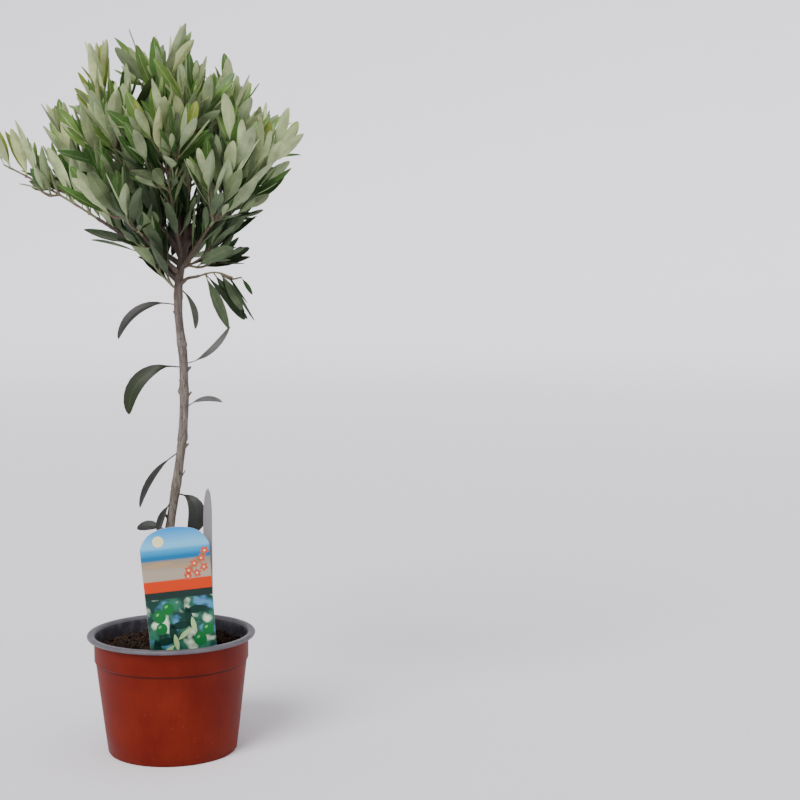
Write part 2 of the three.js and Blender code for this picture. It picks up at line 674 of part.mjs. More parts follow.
// All twigs are grown before the leaves, which then fill the room between them
const masses = LIMBS.map((row, mass) => {
  const [stem, ...shoots] = growTwigs(row, mass, boughs[mass]);
  const pieces = [twigSolid(stem, 0)];
  const twigs = [stem];
  shoots.forEach((shoot) => {
    const blocked = touches(twigSolid(shoot, CLEARANCE), taken);
    twigs.push(blocked ? null : shoot);
    if (!blocked) pieces.push(twigSolid(shoot, 0));
  });
  pieces.forEach((piece) => take(taken, piece, mass));
  return { row, mass, stem: stem.path, twigs, pieces };
});

for (const { row, mass, stem, twigs, pieces } of masses) {
  twigs.forEach((twig, twigIndex) => {
    if (twig) addLeaves(row, mass, twigIndex, twig, stem, pieces, taken);
  });
  tree.add(named(`mass_${row.name}`, largestBody(wasm.Manifold.union(pieces).subtract(sheath)), finishes.leaf));
}

const group = new THREE.Group();
group.add(pot, tree);

export default group;
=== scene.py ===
"""A young olive tree in a 13 cm nursery pot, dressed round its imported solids.

The scene is in metres with +Z up, and the front of the plant faces -Y. Sizes are in millimetres and
angles in degrees, unless a comment says otherwise, and MM turns a size to metres where a mesh is made.
The plant's rule of growth is the one of its solids, and measures from the foot of the trunk.
"""
import logging
import math
import random
from collections.abc import Callable
from dataclasses import dataclass, field, replace
from enum import Enum
from itertools import product

import bpy
import numpy as np
from mathutils import Matrix, Vector, kdtree, noise


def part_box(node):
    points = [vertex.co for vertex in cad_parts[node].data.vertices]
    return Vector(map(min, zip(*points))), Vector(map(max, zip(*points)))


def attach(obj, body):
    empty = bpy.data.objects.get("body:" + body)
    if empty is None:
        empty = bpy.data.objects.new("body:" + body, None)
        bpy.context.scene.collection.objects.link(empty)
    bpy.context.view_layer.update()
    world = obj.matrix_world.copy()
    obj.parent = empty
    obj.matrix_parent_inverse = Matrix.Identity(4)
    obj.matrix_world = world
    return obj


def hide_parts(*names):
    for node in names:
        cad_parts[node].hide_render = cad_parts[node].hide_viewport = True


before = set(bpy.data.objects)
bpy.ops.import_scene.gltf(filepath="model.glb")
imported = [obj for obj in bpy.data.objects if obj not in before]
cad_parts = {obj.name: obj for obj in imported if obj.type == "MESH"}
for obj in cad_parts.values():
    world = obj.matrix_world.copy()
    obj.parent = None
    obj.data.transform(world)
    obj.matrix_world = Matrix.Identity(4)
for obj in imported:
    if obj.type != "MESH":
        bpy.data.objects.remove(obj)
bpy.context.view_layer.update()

MM = 0.001
BODY = "root"
UP = Vector((0, 0, 1))
log = logging.getLogger("olive")

# What the draws of chance() are worked out from, as in the rule of the solids
SEED = 20519
RANDOM_RANGE = 2147483647
FIRST_FACTOR = 16807
KEY_FACTOR = 7919
LAST_FACTOR = 48271

# Short names for Blender's types, and for arrays with one row for each point or direction
Model = bpy.types.Object
Material = bpy.types.Material
Tree = bpy.types.NodeTree
Node = bpy.types.Node
Socket = bpy.types.NodeSocket
Places = np.ndarray

# The pot and its soil
POT_HEIGHT = 93.0
RIM_RADIUS = 65.0
LIP_WIDTH = 5.4
LIP_HEIGHT = 4.6
WALL = 2.0
BAND_BOTTOM = 71.0
BAND_STEP = 1.2
BASE_RADIUS = 50.0
FLOOR_LIFT = 2.0
LIP_BOTTOM = POT_HEIGHT - LIP_HEIGHT
BAND_RADIUS = RIM_RADIUS - LIP_WIDTH
FLOOR_TOP = FLOOR_LIFT + WALL
GROUND = 84.0
SOIL_EDGE = 80.5
CLEARANCE = 0.3
SEATING = 2.0

# The tree's rule
TREE_FOOT = Vector((-6, 0, GROUND + CLEARANCE))
TRUNK_HEIGHT = 314.0
TRUNK_TOP_RADIUS = 3.1
TRUNK_TAPER = 0.5
FLARE = 2.1
FLARE_HEIGHT = 12.0
KNOT_FIRST = 50.0
KNOT_SPACING = 36.5
KNOT_SWELLING = 0.5
KNOT_HALF_HEIGHT = 5.0
BOUGH_STEP = 14.0
BOUGH_TIP = 0.64
STEM_FIT = 0.95
STEM_TIP_RADIUS = 0.75
SHOOT_BASE_RADIUS = 1.1
SHOOT_TIP_RADIUS = 0.7
NODE_FIRST = 7.0
NODE_SPACING = 13.5
SHOOT_ZONE = 0.75
SHOOT_SHARE = 0.56
SHOOT_SPREAD = 38.0
SHOOT_PULL = 1.2
SHOOT_STEP = 18.0
# A shoot's length as shares of its row's: at the stem's base, the loss to its tip, and chance
SHOOT_AT_BASE = 1.1
SHOOT_LOSS = 0.5
SHOOT_LEAST = 0.8
SHOOT_VARIATION = 0.4
LEAF_LENGTH = 47.0
LEAF_SLENDERNESS = 0.265
LEAF_NARROWING = 0.16
LEAF_TRIES = 6
# How far a leaf spreads from its twig, near the twig's base and at its tip
SPREAD_AT_BASE = 42.0
SPREAD_AT_TIP = 16.0
# How far chance turns, spreads and rolls a leaf, and how much further at each new try
STRAY_TURN = 14.0
STRAY_SPREAD = 7.0
STRAY_ROLL = 24.0
STRAY_PER_TRY = 0.6
# What a leaf loses of its length at its twig's tip and base, and how far chance changes it
LOSS_AT_TIP = 0.45
LOSS_AT_BASE = 0.1
LENGTH_VARIATION = 0.14
CURL = 0.04
CURL_VARIATION = 0.1

# Finer growth, which the solids leave out
FINE_SHARE = 0.3
BETWEEN_SHARE = 0.55
FINE_LENGTH = 17.0
FINE_LEAST = 0.6
FINE_VARIATION = 0.8
FINE_SPREAD = 44.0
FINE_STRAY = 20.0
FINE_PULL = 0.9
FINE_STEP = 5.0
FINE_SPACING = 6.5
FINE_RADIUS = 0.55
FINE_TAPER = 0.6
LEAST_LEAVES = 3
# The numbers of a bough and of the first finer shoot, which no twig of the rule reaches
BOUGH_NUMBER = 90
FIRST_FINE = 100
# Sizes of the finer leaves, as shares of what the rule gives: on a bough and between its nodes, between
# a twig's nodes, on a young shoot, and the last two pairs of a twig
BOUGH_LEAF = 0.9
BETWEEN_BOUGH_LEAF = 0.8
BETWEEN_LEAF = 0.94
SHOOT_LEAF = 0.5
TIP_LEAF = 0.7
LAST_LEAF = 0.42
# The least distance between two leaves, and how far past its solid a mass's finer growth may reach
LEAF_GAP = 2.4
SPACE_MARGIN = 2.5
# The inner share of a bough that stays bare, and the length up to which a whole bough does
BARE_BOUGH = 0.3
BARE_LENGTH = 20.0
# How near a point a solid's corner has to be, to be the one that is looked for
FOUND = 0.06


class Tone(Enum):
    """The colours of one spray of leaves, from young growth to leaves in shade: the pale tones are partly
    painted light, and the dark ones painted shade.
    """

    LIME = "lime"
    FRESH = "fresh"
    SAGE = "sage"
    MATURE = "mature"
    DEEP = "deep"
    SHADE = "shade"


class StemTone(Enum):
    """The colours of the trunk's own leaves, which are old and dusty; the shaded ones are darkened with
    painted shade, low under the crown.
    """

    GREEN = "green"
    GREY = "grey"
    PALE = "pale"
    SHADED = "shaded"


@dataclass(frozen=True)
class Limb:
    """One bough with the mass of foliage that it carries: a row of the plant's rule.

    Attributes:
        height: Where it leaves the trunk.
        azimuth: The way it points, seen from above.
        rise: Its angle above the horizon.
        radius: Its radius at the trunk.
        bough: Its length, or 0 where the mass springs from the trunk.
        bend: How much upward direction it gains over its length.
        stem: The length of the mass's stem.
        lift: What the stem gains upwards.
        shoot: About how long the stem's side shoots are.
        reach: How far from the stem a leaf's tip may lie.
        uplift: How strongly its leaves turn upwards.
    """

    name: str
    height: float
    azimuth: float
    rise: float
    radius: float
    bough: float
    bend: float
    stem: float
    lift: float
    shoot: float
    reach: float
    uplift: float


LIMBS = (
    Limb("low_left", 280, 187, 44, 1.9, 76, -0.3, 80, -0.15, 18, 52, 1.6),
    Limb("low_front", 286, 232, 36, 1.8, 46, 0.1, 58, 0.5, 34, 52, 0.7),
    Limb("low_right", 277, 340, 38, 1.5, 18, -0.9, 30, -0.9, 18, 44, -1.5),
    Limb("low_back", 280, 130, 34, 1.8, 44, 0.1, 56, 0.6, 32, 52, 0.6),
    Limb("left", 293, 174, 35, 1.9, 58, 0.1, 86, 1.4, 36, 56, 0.6),
    Limb("front_left", 302, 214, 48, 1.8, 44, 0.2, 76, 0.9, 38, 56, 0.4),
    Limb("front_right", 290, 316, 39, 1.8, 46, 0.2, 72, 0.9, 38, 54, 0.5),
    Limb("back_right", 296, 52, 43, 1.8, 46, 0.2, 76, 0.9, 38, 54, 0.4),
    Limb("top_left", 299, 179, 55, 2, 47, 0.3, 113, 1.2, 36, 60, 0.3),
    Limb("back", 304, 100, 56, 1.9, 40, 0.3, 84, 0.6, 38, 54, 0.3),
    Limb("front", 298, 264, 50, 1.9, 40, 0.3, 80, 0.7, 38, 54, 0.3),
    Limb("right", 308, 4, 38, 2.3, 32, 0.2, 62, 1.2, 34, 50, 0.5),
    Limb("top_right", 311, 22, 62, 2, 32, 0.3, 86, 0.4, 36, 54, 0.3),
    Limb("top_front", 312, 290, 66, 1.9, 34, 0.3, 84, 0.4, 34, 54, 0.3),
    Limb("leader", 306, 170, 78, 2.3, 42, 0.4, 96, 0.6, 36, 56, 0.3),
    Limb("inner_left", 273, 206, 44, 1.6, 0, 0, 48, 0.5, 18, 50, 0.5),
    Limb("inner_right", 289, 350, 30, 1.6, 0, 0, 44, 0.5, 18, 48, 0.5),
    Limb("inner_back", 286, 80, 40, 1.6, 0, 0, 44, 0.5, 18, 48, 0.5),
)


@dataclass(frozen=True)
class StemLeaf:
    """A leaf that springs from the bare trunk: a row of the plant's rule, with its bend in radians."""

    name: str
    height: float
    azimuth: float
    rise: float
    length: float
    width: float
    bend: float
    roll: float
    tone: StemTone


STEM_LEAVES = (
    StemLeaf("upper_left", 262, 184, 18, 56, 9, -1.6, 50, StemTone.GREY),
    StemLeaf("upper_right", 217, 352, 12, 46, 9, 0.9, 42, StemTone.PALE),
    StemLeaf("middle_left", 214, 186, 16, 62, 13, -1.9, 66, StemTone.GREEN),
    StemLeaf("middle_right", 182, 8, 40, 28, 6, -1.1, 40, StemTone.PALE),
    StemLeaf("upper_back", 276, 60, -24, 38, 10, -1.2, 20, StemTone.GREEN),
    StemLeaf("low_left", 150, 196, -30, 52, 8, -0.8, 30, StemTone.SHADED),
    StemLeaf("foot_right", 116, 336, 10, 42, 14, -2.7, 50, StemTone.SHADED),
    StemLeaf("foot_left", 114, 200, -52, 26, 9, -0.5, 24, StemTone.SHADED),
    StemLeaf("foot_small", 87, 166, 24, 24, 9, -0.8, 50, StemTone.SHADED),
)


@dataclass(frozen=True)
class Spur:
    """The short stub of a shoot that was cut from the trunk, or a young bud there."""

    height: float
    azimuth: float
    rise: float
    length: float
    radius: float


SPURS = (
    Spur(96, 205, 40, 3.0, 1.1),
    Spur(124, 352, 52, 9.0, 0.6),
    Spur(126, 80, 45, 4.0, 0.9),
    Spur(152, 4, 25, 2.4, 1.2),
    Spur(171, 250, 50, 2.6, 0.9),
    Spur(190, 354, 38, 4.4, 1.0),
    Spur(198, 130, 40, 5.0, 0.8),
    Spur(211, 12, 30, 2.8, 1.3),
    Spur(236, 300, 55, 3.4, 0.8),
    Spur(249, 190, 60, 6.5, 0.7),
)
# Each bend of the trunk: the heights between which it shifts, and how far in X and in Y
TRUNK_BENDS = ((30, 190, 17.5, 3), (213, 262, -3, -4), (268, 330, 7, 2))


# Numbers and directions


def chance(*keys: int) -> float:
    """Draws a number from 0 to 1 that looks random and is the same in every run.

    Args:
        keys: Whole numbers that say what the draw is for, and last the number of the draw.

    Returns:
        The number.
    """
    value = SEED
    for key in keys:
        value = (value * FIRST_FACTOR + (key + 1) * KEY_FACTOR) % RANDOM_RANGE
    value = (value * LAST_FACTOR) % RANDOM_RANGE
    return ((value * FIRST_FACTOR) % RANDOM_RANGE) / RANDOM_RANGE


def sway(*keys: int) -> float:
    """The same, spread evenly from -1 to 1."""
    return 2 * chance(*keys) - 1


def mix(low: float, high: float, share: float) -> float:
    """The number that lies at a share of the way from low to high."""
    return low + (high - low) * share


def smooth(value: float, low: float, high: float) -> float:
    """Rises smoothly from 0 at low to 1 at high."""
    share = min(max((value - low) / (high - low), 0), 1)
    return share * share * (3 - 2 * share)


def heading(azimuth: float, rise: float) -> Vector:
    """The direction of an azimuth and a rise above the horizon."""
    turn, lift = math.radians(azimuth), math.radians(rise)
    return Vector((math.cos(lift) * math.cos(turn), math.cos(lift) * math.sin(turn), math.sin(lift)))


# Finishes
# A pixel of the render spans about 0.8 mm. The grain of plastic, the felt of a leaf, specks of dust and
# the finest fissures of bark are smaller, so their patterns are drawn about that coarse or coarser


def linear(colour: str) -> tuple[float, float, float, float]:
    """Turns an sRGB hex colour, such as #7d2c1d, to linear red, green and blue with full alpha."""
    shares = [int(colour[i : i + 2], 16) / 255 for i in (1, 3, 5)]
    return (*[s / 12.92 if s <= 0.04045 else ((s + 0.055) / 1.055) ** 2.4 for s in shares], 1.0)


def toned(colour: str, factor: float) -> str:
    """The hex colour with its red, green and blue multiplied."""
    levels = [round(int(colour[i : i + 2], 16) * factor) for i in (1, 3, 5)]
    return "#" + "".join(f"{min(level, 255):02x}" for level in levels)


def add_node(tree: Tree, kind: str, settings: dict | None = None, inputs: dict | None = None) -> Node:
    """Adds a node with its settings and links.

    Args:
        tree: The node tree of a material or world.
        kind: The node's Blender type.
        settings: Values of the node's own properties.
        inputs: For each input, by name or number, a value or the socket that feeds it.

    Returns:
        The new node.
    """
    node = tree.nodes.new(kind)
    for name, value in (settings or {}).items():
        setattr(node, name, value)
    for name, value in (inputs or {}).items():
        if isinstance(value, Socket):
            tree.links.new(value, node.inputs[name])
        else:
            node.inputs[name].default_value = value
    return node


class Paint:
    """One material while it is made, with the steps that its colour and its relief are made of."""

    def __init__(self, name: str) -> None:
        """Starts the material.

        Args:
            name: Its name.
        """
        self.material = bpy.data.materials.new(name)
        self.material.use_nodes = True
        self.tree = self.material.node_tree
        self.shader = self.tree.nodes["Principled BSDF"]
        self.place = add_node(self.tree, "ShaderNodeTexCoord").outputs["Object"]

    def fix(self, values: dict) -> None:
        """Sets the shader's own sockets to values that are the same all over the surface."""
        for name, value in values.items():
            self.shader.inputs[name].default_value = value

    def feed(self, name: str, socket: Socket) -> None:
        """Feeds one of the shader's sockets with a pattern."""
        self.tree.links.new(socket, self.shader.inputs[name])

    def cloud(self, size: float, detail: float = 3.0, place: Socket | None = None) -> Socket:
        """A noise whose blotches are size millimetres across."""
        inputs = {"Vector": place or self.place, "Scale": 1 / (size * MM), "Detail": detail}
        return add_node(self.tree, "ShaderNodeTexNoise", None, inputs).outputs[0]

    def drawn_out(self, factor: float) -> Socket:
        """Places that make a pattern longer along Z by one over the factor."""
        inputs = {"Vector": self.place, "Scale": (1, 1, factor)}
        return add_node(self.tree, "ShaderNodeMapping", None, inputs).outputs[0]

    def height(self) -> Socket:
        """Each point's height in metres."""
        return add_node(self.tree, "ShaderNodeSeparateXYZ", None, {"Vector": self.place}).outputs[2]

    def ramp(self, value: Socket, low: float, high: float, top: float = 1.0) -> Socket:
        """A value that runs from 0, where the given one is low, to top, where it is high."""
        inputs = {"Value": value, "From Min": low, "From Max": high, "To Max": top}
        return add_node(self.tree, "ShaderNodeMapRange", None, inputs).outputs[0]

    def combine(self, operation: str, first: Socket, second: Socket | float = 0.0) -> Socket:
        """The result of one of Blender's math operations on one or two values."""
        inputs = {0: first, 1: second}
        return add_node(self.tree, "ShaderNodeMath", {"operation": operation}, inputs).outputs[0]

    def blend(self, factor: Socket, under: Socket | str, over: str) -> Socket:
        """A colour that goes from under, a colour or a socket, to over as the factor rises."""
        inputs = {0: factor, 6: linear(under) if isinstance(under, str) else under, 7: linear(over)}
        return add_node(self.tree, "ShaderNodeMix", {"data_type": "RGBA"}, inputs).outputs[2]

    def bump(self, height: Socket, relief: float) -> None:
        """Raises the surface by a height from 0 to 1, to relief millimetres."""
        inputs = {"Height": height, "Distance": relief * MM, "Strength": 1.0}
        self.feed("Normal", add_node(self.tree, "ShaderNodeBump", None, inputs).outputs[0])


@dataclass(frozen=True)
class Finish:
    """A plain base colour with a faint fine grain: the start of every other finish.

    Attributes:
        name: What the material is and how its surface was made.
        colour: The base colour.
        roughness: From 0, a mirror, to 1, dull.
        ior: Index of refraction, which sets the strength of the gloss.
        grain: Size of the surface's fine grain in millimetres.
        relief: Height of that grain in millimetres.
        gloss: Strength of the highlights. A clean surface has 0.5, and a scuffed or dusty one less.
    """

    name: str
    colour: str
    roughness: float
    ior: float = 1.45
    grain: float = 0.8
    relief: float = 0.04
    gloss: float = 0.5

    def make(self) -> Material:
        """Makes the material.

        Returns:
            The material, with its pattern.
        """
        paint = Paint(self.name)
        paint.fix({"Base Color": linear(self.colour), "Roughness": self.roughness})
        paint.fix({"IOR": self.ior, "Specular IOR Level": self.gloss})
        self.dress(paint)
        return paint.material

    def dress(self, paint: Paint) -> None:
        """Gives the surface its grain."""
        paint.bump(paint.cloud(self.grain), self.relief)


class PotPlastic(Finish):
    """Terracotta-coloured plastic: satin and nearly even, with dust low down and a line of painted shade
    in the groove.
    """

    def dress(self, paint: Paint) -> None:
        """Adds slow colour changes, faint draw marks, dust specks and painted shade in the groove.

        Args:
            paint: The material.
        """
        cloudy = paint.ramp(paint.cloud(34.0), 0.35, 0.7)
        colour = paint.blend(cloudy, self.colour, "#702010")
        drawn = paint.cloud(2.2, 3.0, paint.drawn_out(0.05))
        colour = paint.blend(paint.ramp(drawn, 0.5, 0.8, 0.3), colour, "#4c0f07")
        height = paint.height()
        low = paint.ramp(height, POT_HEIGHT * MM, 0.0)
        specks = paint.ramp(paint.cloud(1.5, 1.0), 0.72, 0.8, 0.8)
        colour = paint.blend(paint.combine("MULTIPLY", low, specks), colour, "#8a5648")
        # Painted shade: a dark line along the groove at the foot of the band
        above_groove = paint.combine("SUBTRACT", height, (BAND_BOTTOM - 0.1) * MM)
        groove_shade = paint.ramp(paint.combine("ABSOLUTE", above_groove), 1.1 * MM, 0.3 * MM, 0.75)
        paint.feed("Base Color", paint.blend(groove_shade, colour, "#2c0d09"))
        duller = paint.ramp(cloudy, 0.0, 1.0, 0.12)
        paint.feed("Roughness", paint.combine("ADD", duller, self.roughness))
        paint.bump(drawn, self.relief)


class LinerPlastic(Finish):
    """The grey recycled layer of the lip and the inside: duller, with dry soil rubbed into it. The
    inside's darker grey is painted shade.
    """

    def dress(self, paint: Paint) -> None:
        """Adds dust, and smears of dry soil that thicken towards the soil's surface.

        Args:
            paint: The material.
        """
        low = paint.ramp(paint.height(), LIP_BOTTOM * MM, SOIL_EDGE * MM)
        smears = paint.ramp(paint.cloud(3.0, 6.0), 0.42, 0.66)
        dust = paint.ramp(paint.cloud(8.0), 0.45, 0.7, 0.25)
        colour = paint.blend(dust, self.colour, "#7c797d")
        paint.feed("Base Color", paint.blend(paint.combine("MULTIPLY", low, smears), colour, "#2b211c"))
        paint.bump(smears, self.relief)


class PeatFinish(Finish):
    """Moist peat: nearly black crumbs and red-brown fibre, dull all over."""

    def dress(self, paint: Paint) -> None:
        """Mixes three browns by crumbs and roughens the surface.

        Args:
            paint: The material.
        """
        fine = paint.cloud(self.grain, 8.0)
        colour = paint.blend(paint.ramp(fine, 0.42, 0.66), self.colour, "#2f241d")
        patches = paint.ramp(paint.cloud(5.0), 0.55, 0.72, 0.8)
        paint.feed("Base Color", paint.blend(patches, colour, "#43342a"))
        paint.bump(fine, self.relief)


class BarkFinish(Finish):
    """Young olive bark: smooth grey-brown, finely fissured along the stem, green and purple in places."""

    def dress(self, paint: Paint) -> None:
        """Adds pale streaks, dark fissures, patches of algae and the purple-brown of the fork.

        Args:
            paint: The material.
        """
        along = paint.drawn_out(0.16)
        streaks = paint.cloud(self.grain, 6.0, along)
        colour = paint.blend(paint.ramp(streaks, 0.38, 0.66), self.colour, "#80776f")
        fissures = paint.ramp(paint.cloud(0.7, 4.0, along), 0.56, 0.68)
        colour = paint.blend(fissures, colour, "#352d29")
        algae = paint.ramp(paint.cloud(21.0), 0.5, 0.66, 0.45)
        colour = paint.blend(algae, colour, "#5a5e48")
        fork = paint.ramp(paint.height(), 335 * MM, 395 * MM, 0.8)
        paint.feed("Base Color", paint.blend(fork, colour, "#4e4038"))
        paint.bump(streaks, self.relief)


class TwigFinish(Finish):
    """Green wood of the year: grey-green skin that turns purple-brown on the sunny side."""

    def dress(self, paint: Paint) -> None:
        """Mixes the two colours in short stretches.

        Args:
            paint: The material.
        """
        stretch = paint.ramp(paint.cloud(11.0), 0.42, 0.62)
        paint.feed("Base Color", paint.blend(stretch, self.colour, "#6b5a4d"))
        super().dress(paint)


class LeafFinish(Finish):
    """A leathery leaf, waxed or felted: its colour wavers along the blade and is finely mottled."""

    def dress(self, paint: Paint) -> None:
        """Makes the colour waver by a tenth and mottles it.

        Args:
            paint: The material.
        """
        wave = paint.ramp(paint.cloud(15.0, 2.0), 0.36, 0.64)
        colour = paint.blend(wave, toned(self.colour, 0.88), toned(self.colour, 1.1))
        mottle = paint.ramp(paint.cloud(1.8, 4.0), 0.5, 0.75, 0.4)
        paint.feed("Base Color", paint.blend(mottle, colour, toned(self.colour, 0.78)))
        super().dress(paint)


class CardPrint(Finish):
    """Satin printed card, upright in U and V: sky over sand, two bands, and leafy greens below."""

    def dress(self, paint: Paint) -> None:
        """Lays the colour fields on top of each other, from the foot of the card upwards.

        Args:
            paint: The material.
        """
        chart = add_node(paint.tree, "ShaderNodeUVMap", {"uv_map": "UVMap"}).outputs[0]
        level = add_node(paint.tree, "ShaderNodeSeparateXYZ", None, {"Vector": chart}).outputs[1]
        blots = paint.cloud(12.5 / CARD_CHART / MM, 5.0, chart)
        colour = paint.blend(paint.ramp(blots, 0.42, 0.58), self.colour, "#2f6b54")
        glow = paint.cloud(16.7 / CARD_CHART / MM, 2.0, chart)
        colour = paint.blend(paint.ramp(glow, 0.53, 0.62), colour, "#cfe0c3")
        colour = paint.blend(paint.ramp(glow, 0.44, 0.36), colour, "#4f86ab")
        for foot, soft, hue in CARD_FIELDS:
            colour = paint.blend(paint.ramp(level, foot - soft, foot + soft), colour, hue)
        paint.feed("Base Color", colour)
        paint.fix({"Coat Weight": 0.1})
        super().dress(paint)


# How many millimetres of the card are 1 in U and V
CARD_CHART = 100.0
# The card's fields: the height at which each begins, how soft its edge is, and its colour
CARD_FIELDS = (
    (0.46, 0.002, "#1a2f2b"),
    (0.515, 0.002, "#c8390c"),
    (0.60, 0.004, "#a39684"),
    (0.70, 0.03, "#8f8474"),
    (0.755, 0.006, "#0a6a9c"),
    (0.80, 0.02, "#2f94ca"),
    (0.84, 0.012, "#6fbbe2"),
    (0.94, 0.06, "#0c86d2"),
)

# Thermoformed plastic has a satin skin: one broad soft highlight, which dust and handling have dulled
POT_OUTSIDE = PotPlastic("polypropylene, thermoformed, terracotta", "#601408", 0.45, 1.49, 1.0, 0.04, 0.1)
POT_LIP = LinerPlastic("polypropylene, thermoformed, grey lip", "#56545a", 0.45, 1.49, 1.0, 0.03, 0.35)
# The inside is the lip's grey darkened with painted shade
POT_SHADED_INSIDE = LinerPlastic("polypropylene, thermoformed, grey inside", "#2f2e35", 0.5, 1.49, 1.0, 0.06, 0.25)
# Wet peat swallows the light, and the loose pieces on top have dried paler
PEAT = PeatFinish("peat, moist", "#120c09", 0.95, 1.4, 1.6, 0.5, 0.15)
PEAT_CRUMB = PeatFinish("peat crumbs", "#1c1410", 0.95, 1.4, 2.6, 0.3, 0.15)
FIBRE = Finish("peat fibre, dry", "#5e4735", 0.85, 1.4, 1.2, 0.05, 0.2)
# Young bark is dull and nearly smooth, so its streaks of colour show more than its relief
BARK = BarkFinish("olive bark, young", "#5e5550", 0.8, 1.45, 2.4, 0.35, 0.2)
LIMB_BARK = BarkFinish("olive bark, boughs", "#574c44", 0.78, 1.45, 1.6, 0.15, 0.2)
# The green skin of this year's wood has a faint gloss
TWIG_SKIN = TwigFinish("green twig", "#737a58", 0.66, 1.45, 0.8, 0.05, 0.3)
# Varnished card keeps the full strength of its print, and its bare back is an even white
CARD = CardPrint("printed card, satin", "#163a33", 0.4, 1.5, 0.6, 0.01, 0.15)
CARD_BACK = Finish("card, white back", "#d6d6d2", 0.45, 1.5, 0.6, 0.01)
# Cut polystyrene sheet is greyish and scuffed, with a weak shine
STICK_PLASTIC = Finish("polystyrene strip, grey white", "#7e7a7d", 0.42, 1.55, 1.4, 0.03)
# Matt paper spreads the light evenly and shows no highlight
FLOOR_PAPER = Finish("matt paper, pale", "#f6f3f8", 0.9, 1.4, 2.0, 0.02)

# The tones paint light and shade into the leaves: paler high and outside the crown, darker low and inside
# it
# Each tone's colours of a leaf's upper side, of the pale felt of scales below, and of the midrib
LEAF_COLOURS = {
    Tone.LIME: ("#8d9c40", "#c3cd92", "#c9cf9a"),
    Tone.FRESH: ("#6c8c42", "#adbb88", "#b9c194"),
    Tone.SAGE: ("#4e7133", "#91a178", "#a3ad84"),
    Tone.MATURE: ("#395a29", "#6f7e58", "#828b66"),
    Tone.DEEP: ("#2c4622", "#515f44", "#626c4f"),
    Tone.SHADE: ("#25331d", "#414d36", "#525d42"),
}
# The same of the trunk's own leaves
STEM_LEAF_COLOURS = {
    StemTone.GREEN: ("#232b17", "#565c4c", "#3a4329"),
    StemTone.GREY: ("#393836", "#696866", "#4d4c49"),
    StemTone.PALE: ("#5c5d5a", "#7a7b77", "#6b6c67"),
    # Painted shade for the leaves low on the trunk
    StemTone.SHADED: ("#2b2d2a", "#3d4139", "#363b35"),
}


def leaf_materials(name: str, colours: tuple[str, str, str]) -> list[Material]:
    """Makes the materials of one kind of leaf: waxed and shining above, a dull felt of scales below.

    Args:
        name: What the kind is called.
        colours: Its upper side, its underside and its midrib.

    Returns:
        The three materials in that order.
    """
    upper, underside, rib = colours
    return [
        LeafFinish(f"leaf, {name}, upper", upper, 0.44, 1.45, 1.1, 0.05, 0.35).make(),
        LeafFinish(f"leaf, {name}, underside", underside, 0.7, 1.4, 0.5, 0.03, 0.3).make(),
        LeafFinish(f"leaf, {name}, midrib", rib, 0.55, 1.4, 0.5, 0.02, 0.3).make(),
    ]


# Making meshes


@dataclass
class Shape:
    """A mesh as arrays, in millimetres.

    Attributes:
        points: The vertices.
        corners: The vertex numbers of all faces, one face after the other.
        starts: Where each face begins in corners.
        finishes: Which of the mesh's materials each face wears.
    """

    points: Places
    corners: np.ndarray
    starts: np.ndarray
    finishes: np.ndarray


def shape_from(points: list | Places, faces: list[tuple]) -> Shape:
    """Makes a shape from points and faces.

    Args:
        points: The vertices in millimetres.
        faces: Each face's vertex numbers.

    Returns:
        The shape, in its first material.
    """
    sizes = [len(face) for face in faces]
    corners = np.array([corner for face in faces for corner in face], dtype=np.int32)
    starts = np.concatenate(([0], np.cumsum(sizes)[:-1])).astype(np.int32)
    return Shape(np.array(points, dtype=float), corners, starts, np.zeros(len(faces), dtype=np.int32))


def joined(shapes: list[Shape]) -> Shape:
    """Joins shapes into one, each with its own points.

    Args:
        shapes: The shapes.

    Returns:
        The joined shape.
    """
    point_offsets = np.cumsum([0] + [len(s.points) for s in shapes[:-1]])
    corner_offsets = np.cumsum([0] + [len(s.corners) for s in shapes[:-1]])
    return Shape(
        np.concatenate([s.points for s in shapes]),
        np.concatenate([s.corners + o for s, o in zip(shapes, point_offsets)]),
        np.concatenate([s.starts + o for s, o in zip(shapes, corner_offsets)]),
        np.concatenate([s.finishes for s in shapes]),
    )


def model_from(name: str, shape: Shape, materials: list[Material], angle: float = 50.0) -> Model:
    """Makes a model of a shape.

    Args:
        name: The new object's name.
        shape: The shape in millimetres, in the frame of the pot.
        materials: The materials that its faces are numbered by.
        angle: Edges sharper than this many degrees stay sharp.

    Returns:
        The object, at the origin.
    """
    mesh = bpy.data.meshes.new(name)
    mesh.vertices.add(len(shape.points))
    mesh.vertices.foreach_set("co", (shape.points * MM).ravel())
    mesh.loops.add(len(shape.corners))
    mesh.loops.foreach_set("vertex_index", shape.corners.astype(np.int32))
    mesh.polygons.add(len(shape.starts))
    mesh.polygons.foreach_set("loop_start", shape.starts.astype(np.int32))
    for material in materials:
        mesh.materials.append(material)
    mesh.polygons.foreach_set("material_index", shape.finishes.astype(np.int32))
    mesh.update(calc_edges=True)
    mesh.validate()
    model = bpy.data.objects.new(name, mesh)
    bpy.context.scene.collection.objects.link(model)
    smooth_by(model, angle)
    return model


def select_only(model: Model) -> None:
    """Selects one model.

    Args:
        model: The model that becomes the only selected object, and the active one.
    """
    bpy.ops.object.select_all(action="DESELECT")
    model.select_set(True)
    bpy.context.view_layer.objects.active = model


def smooth_by(model: Model, angle: float) -> None:
    """Shades a model smooth, apart from edges sharper than the angle in degrees."""
    select_only(model)
    bpy.ops.object.shade_smooth_by_angle(angle=math.radians(angle))


def apply_modifier(model: Model, kind: str, **settings: object) -> None:
    """Adds a modifier and applies it.

    Args:
        model: The model.
        kind: The modifier's Blender type.
        settings: Values of its properties.
    """
    select_only(model)
    modifier = model.modifiers.new(kind, kind)
    for name, value in settings.items():
        setattr(modifier, name, value)
    bpy.ops.object.modifier_apply(modifier=modifier.name)


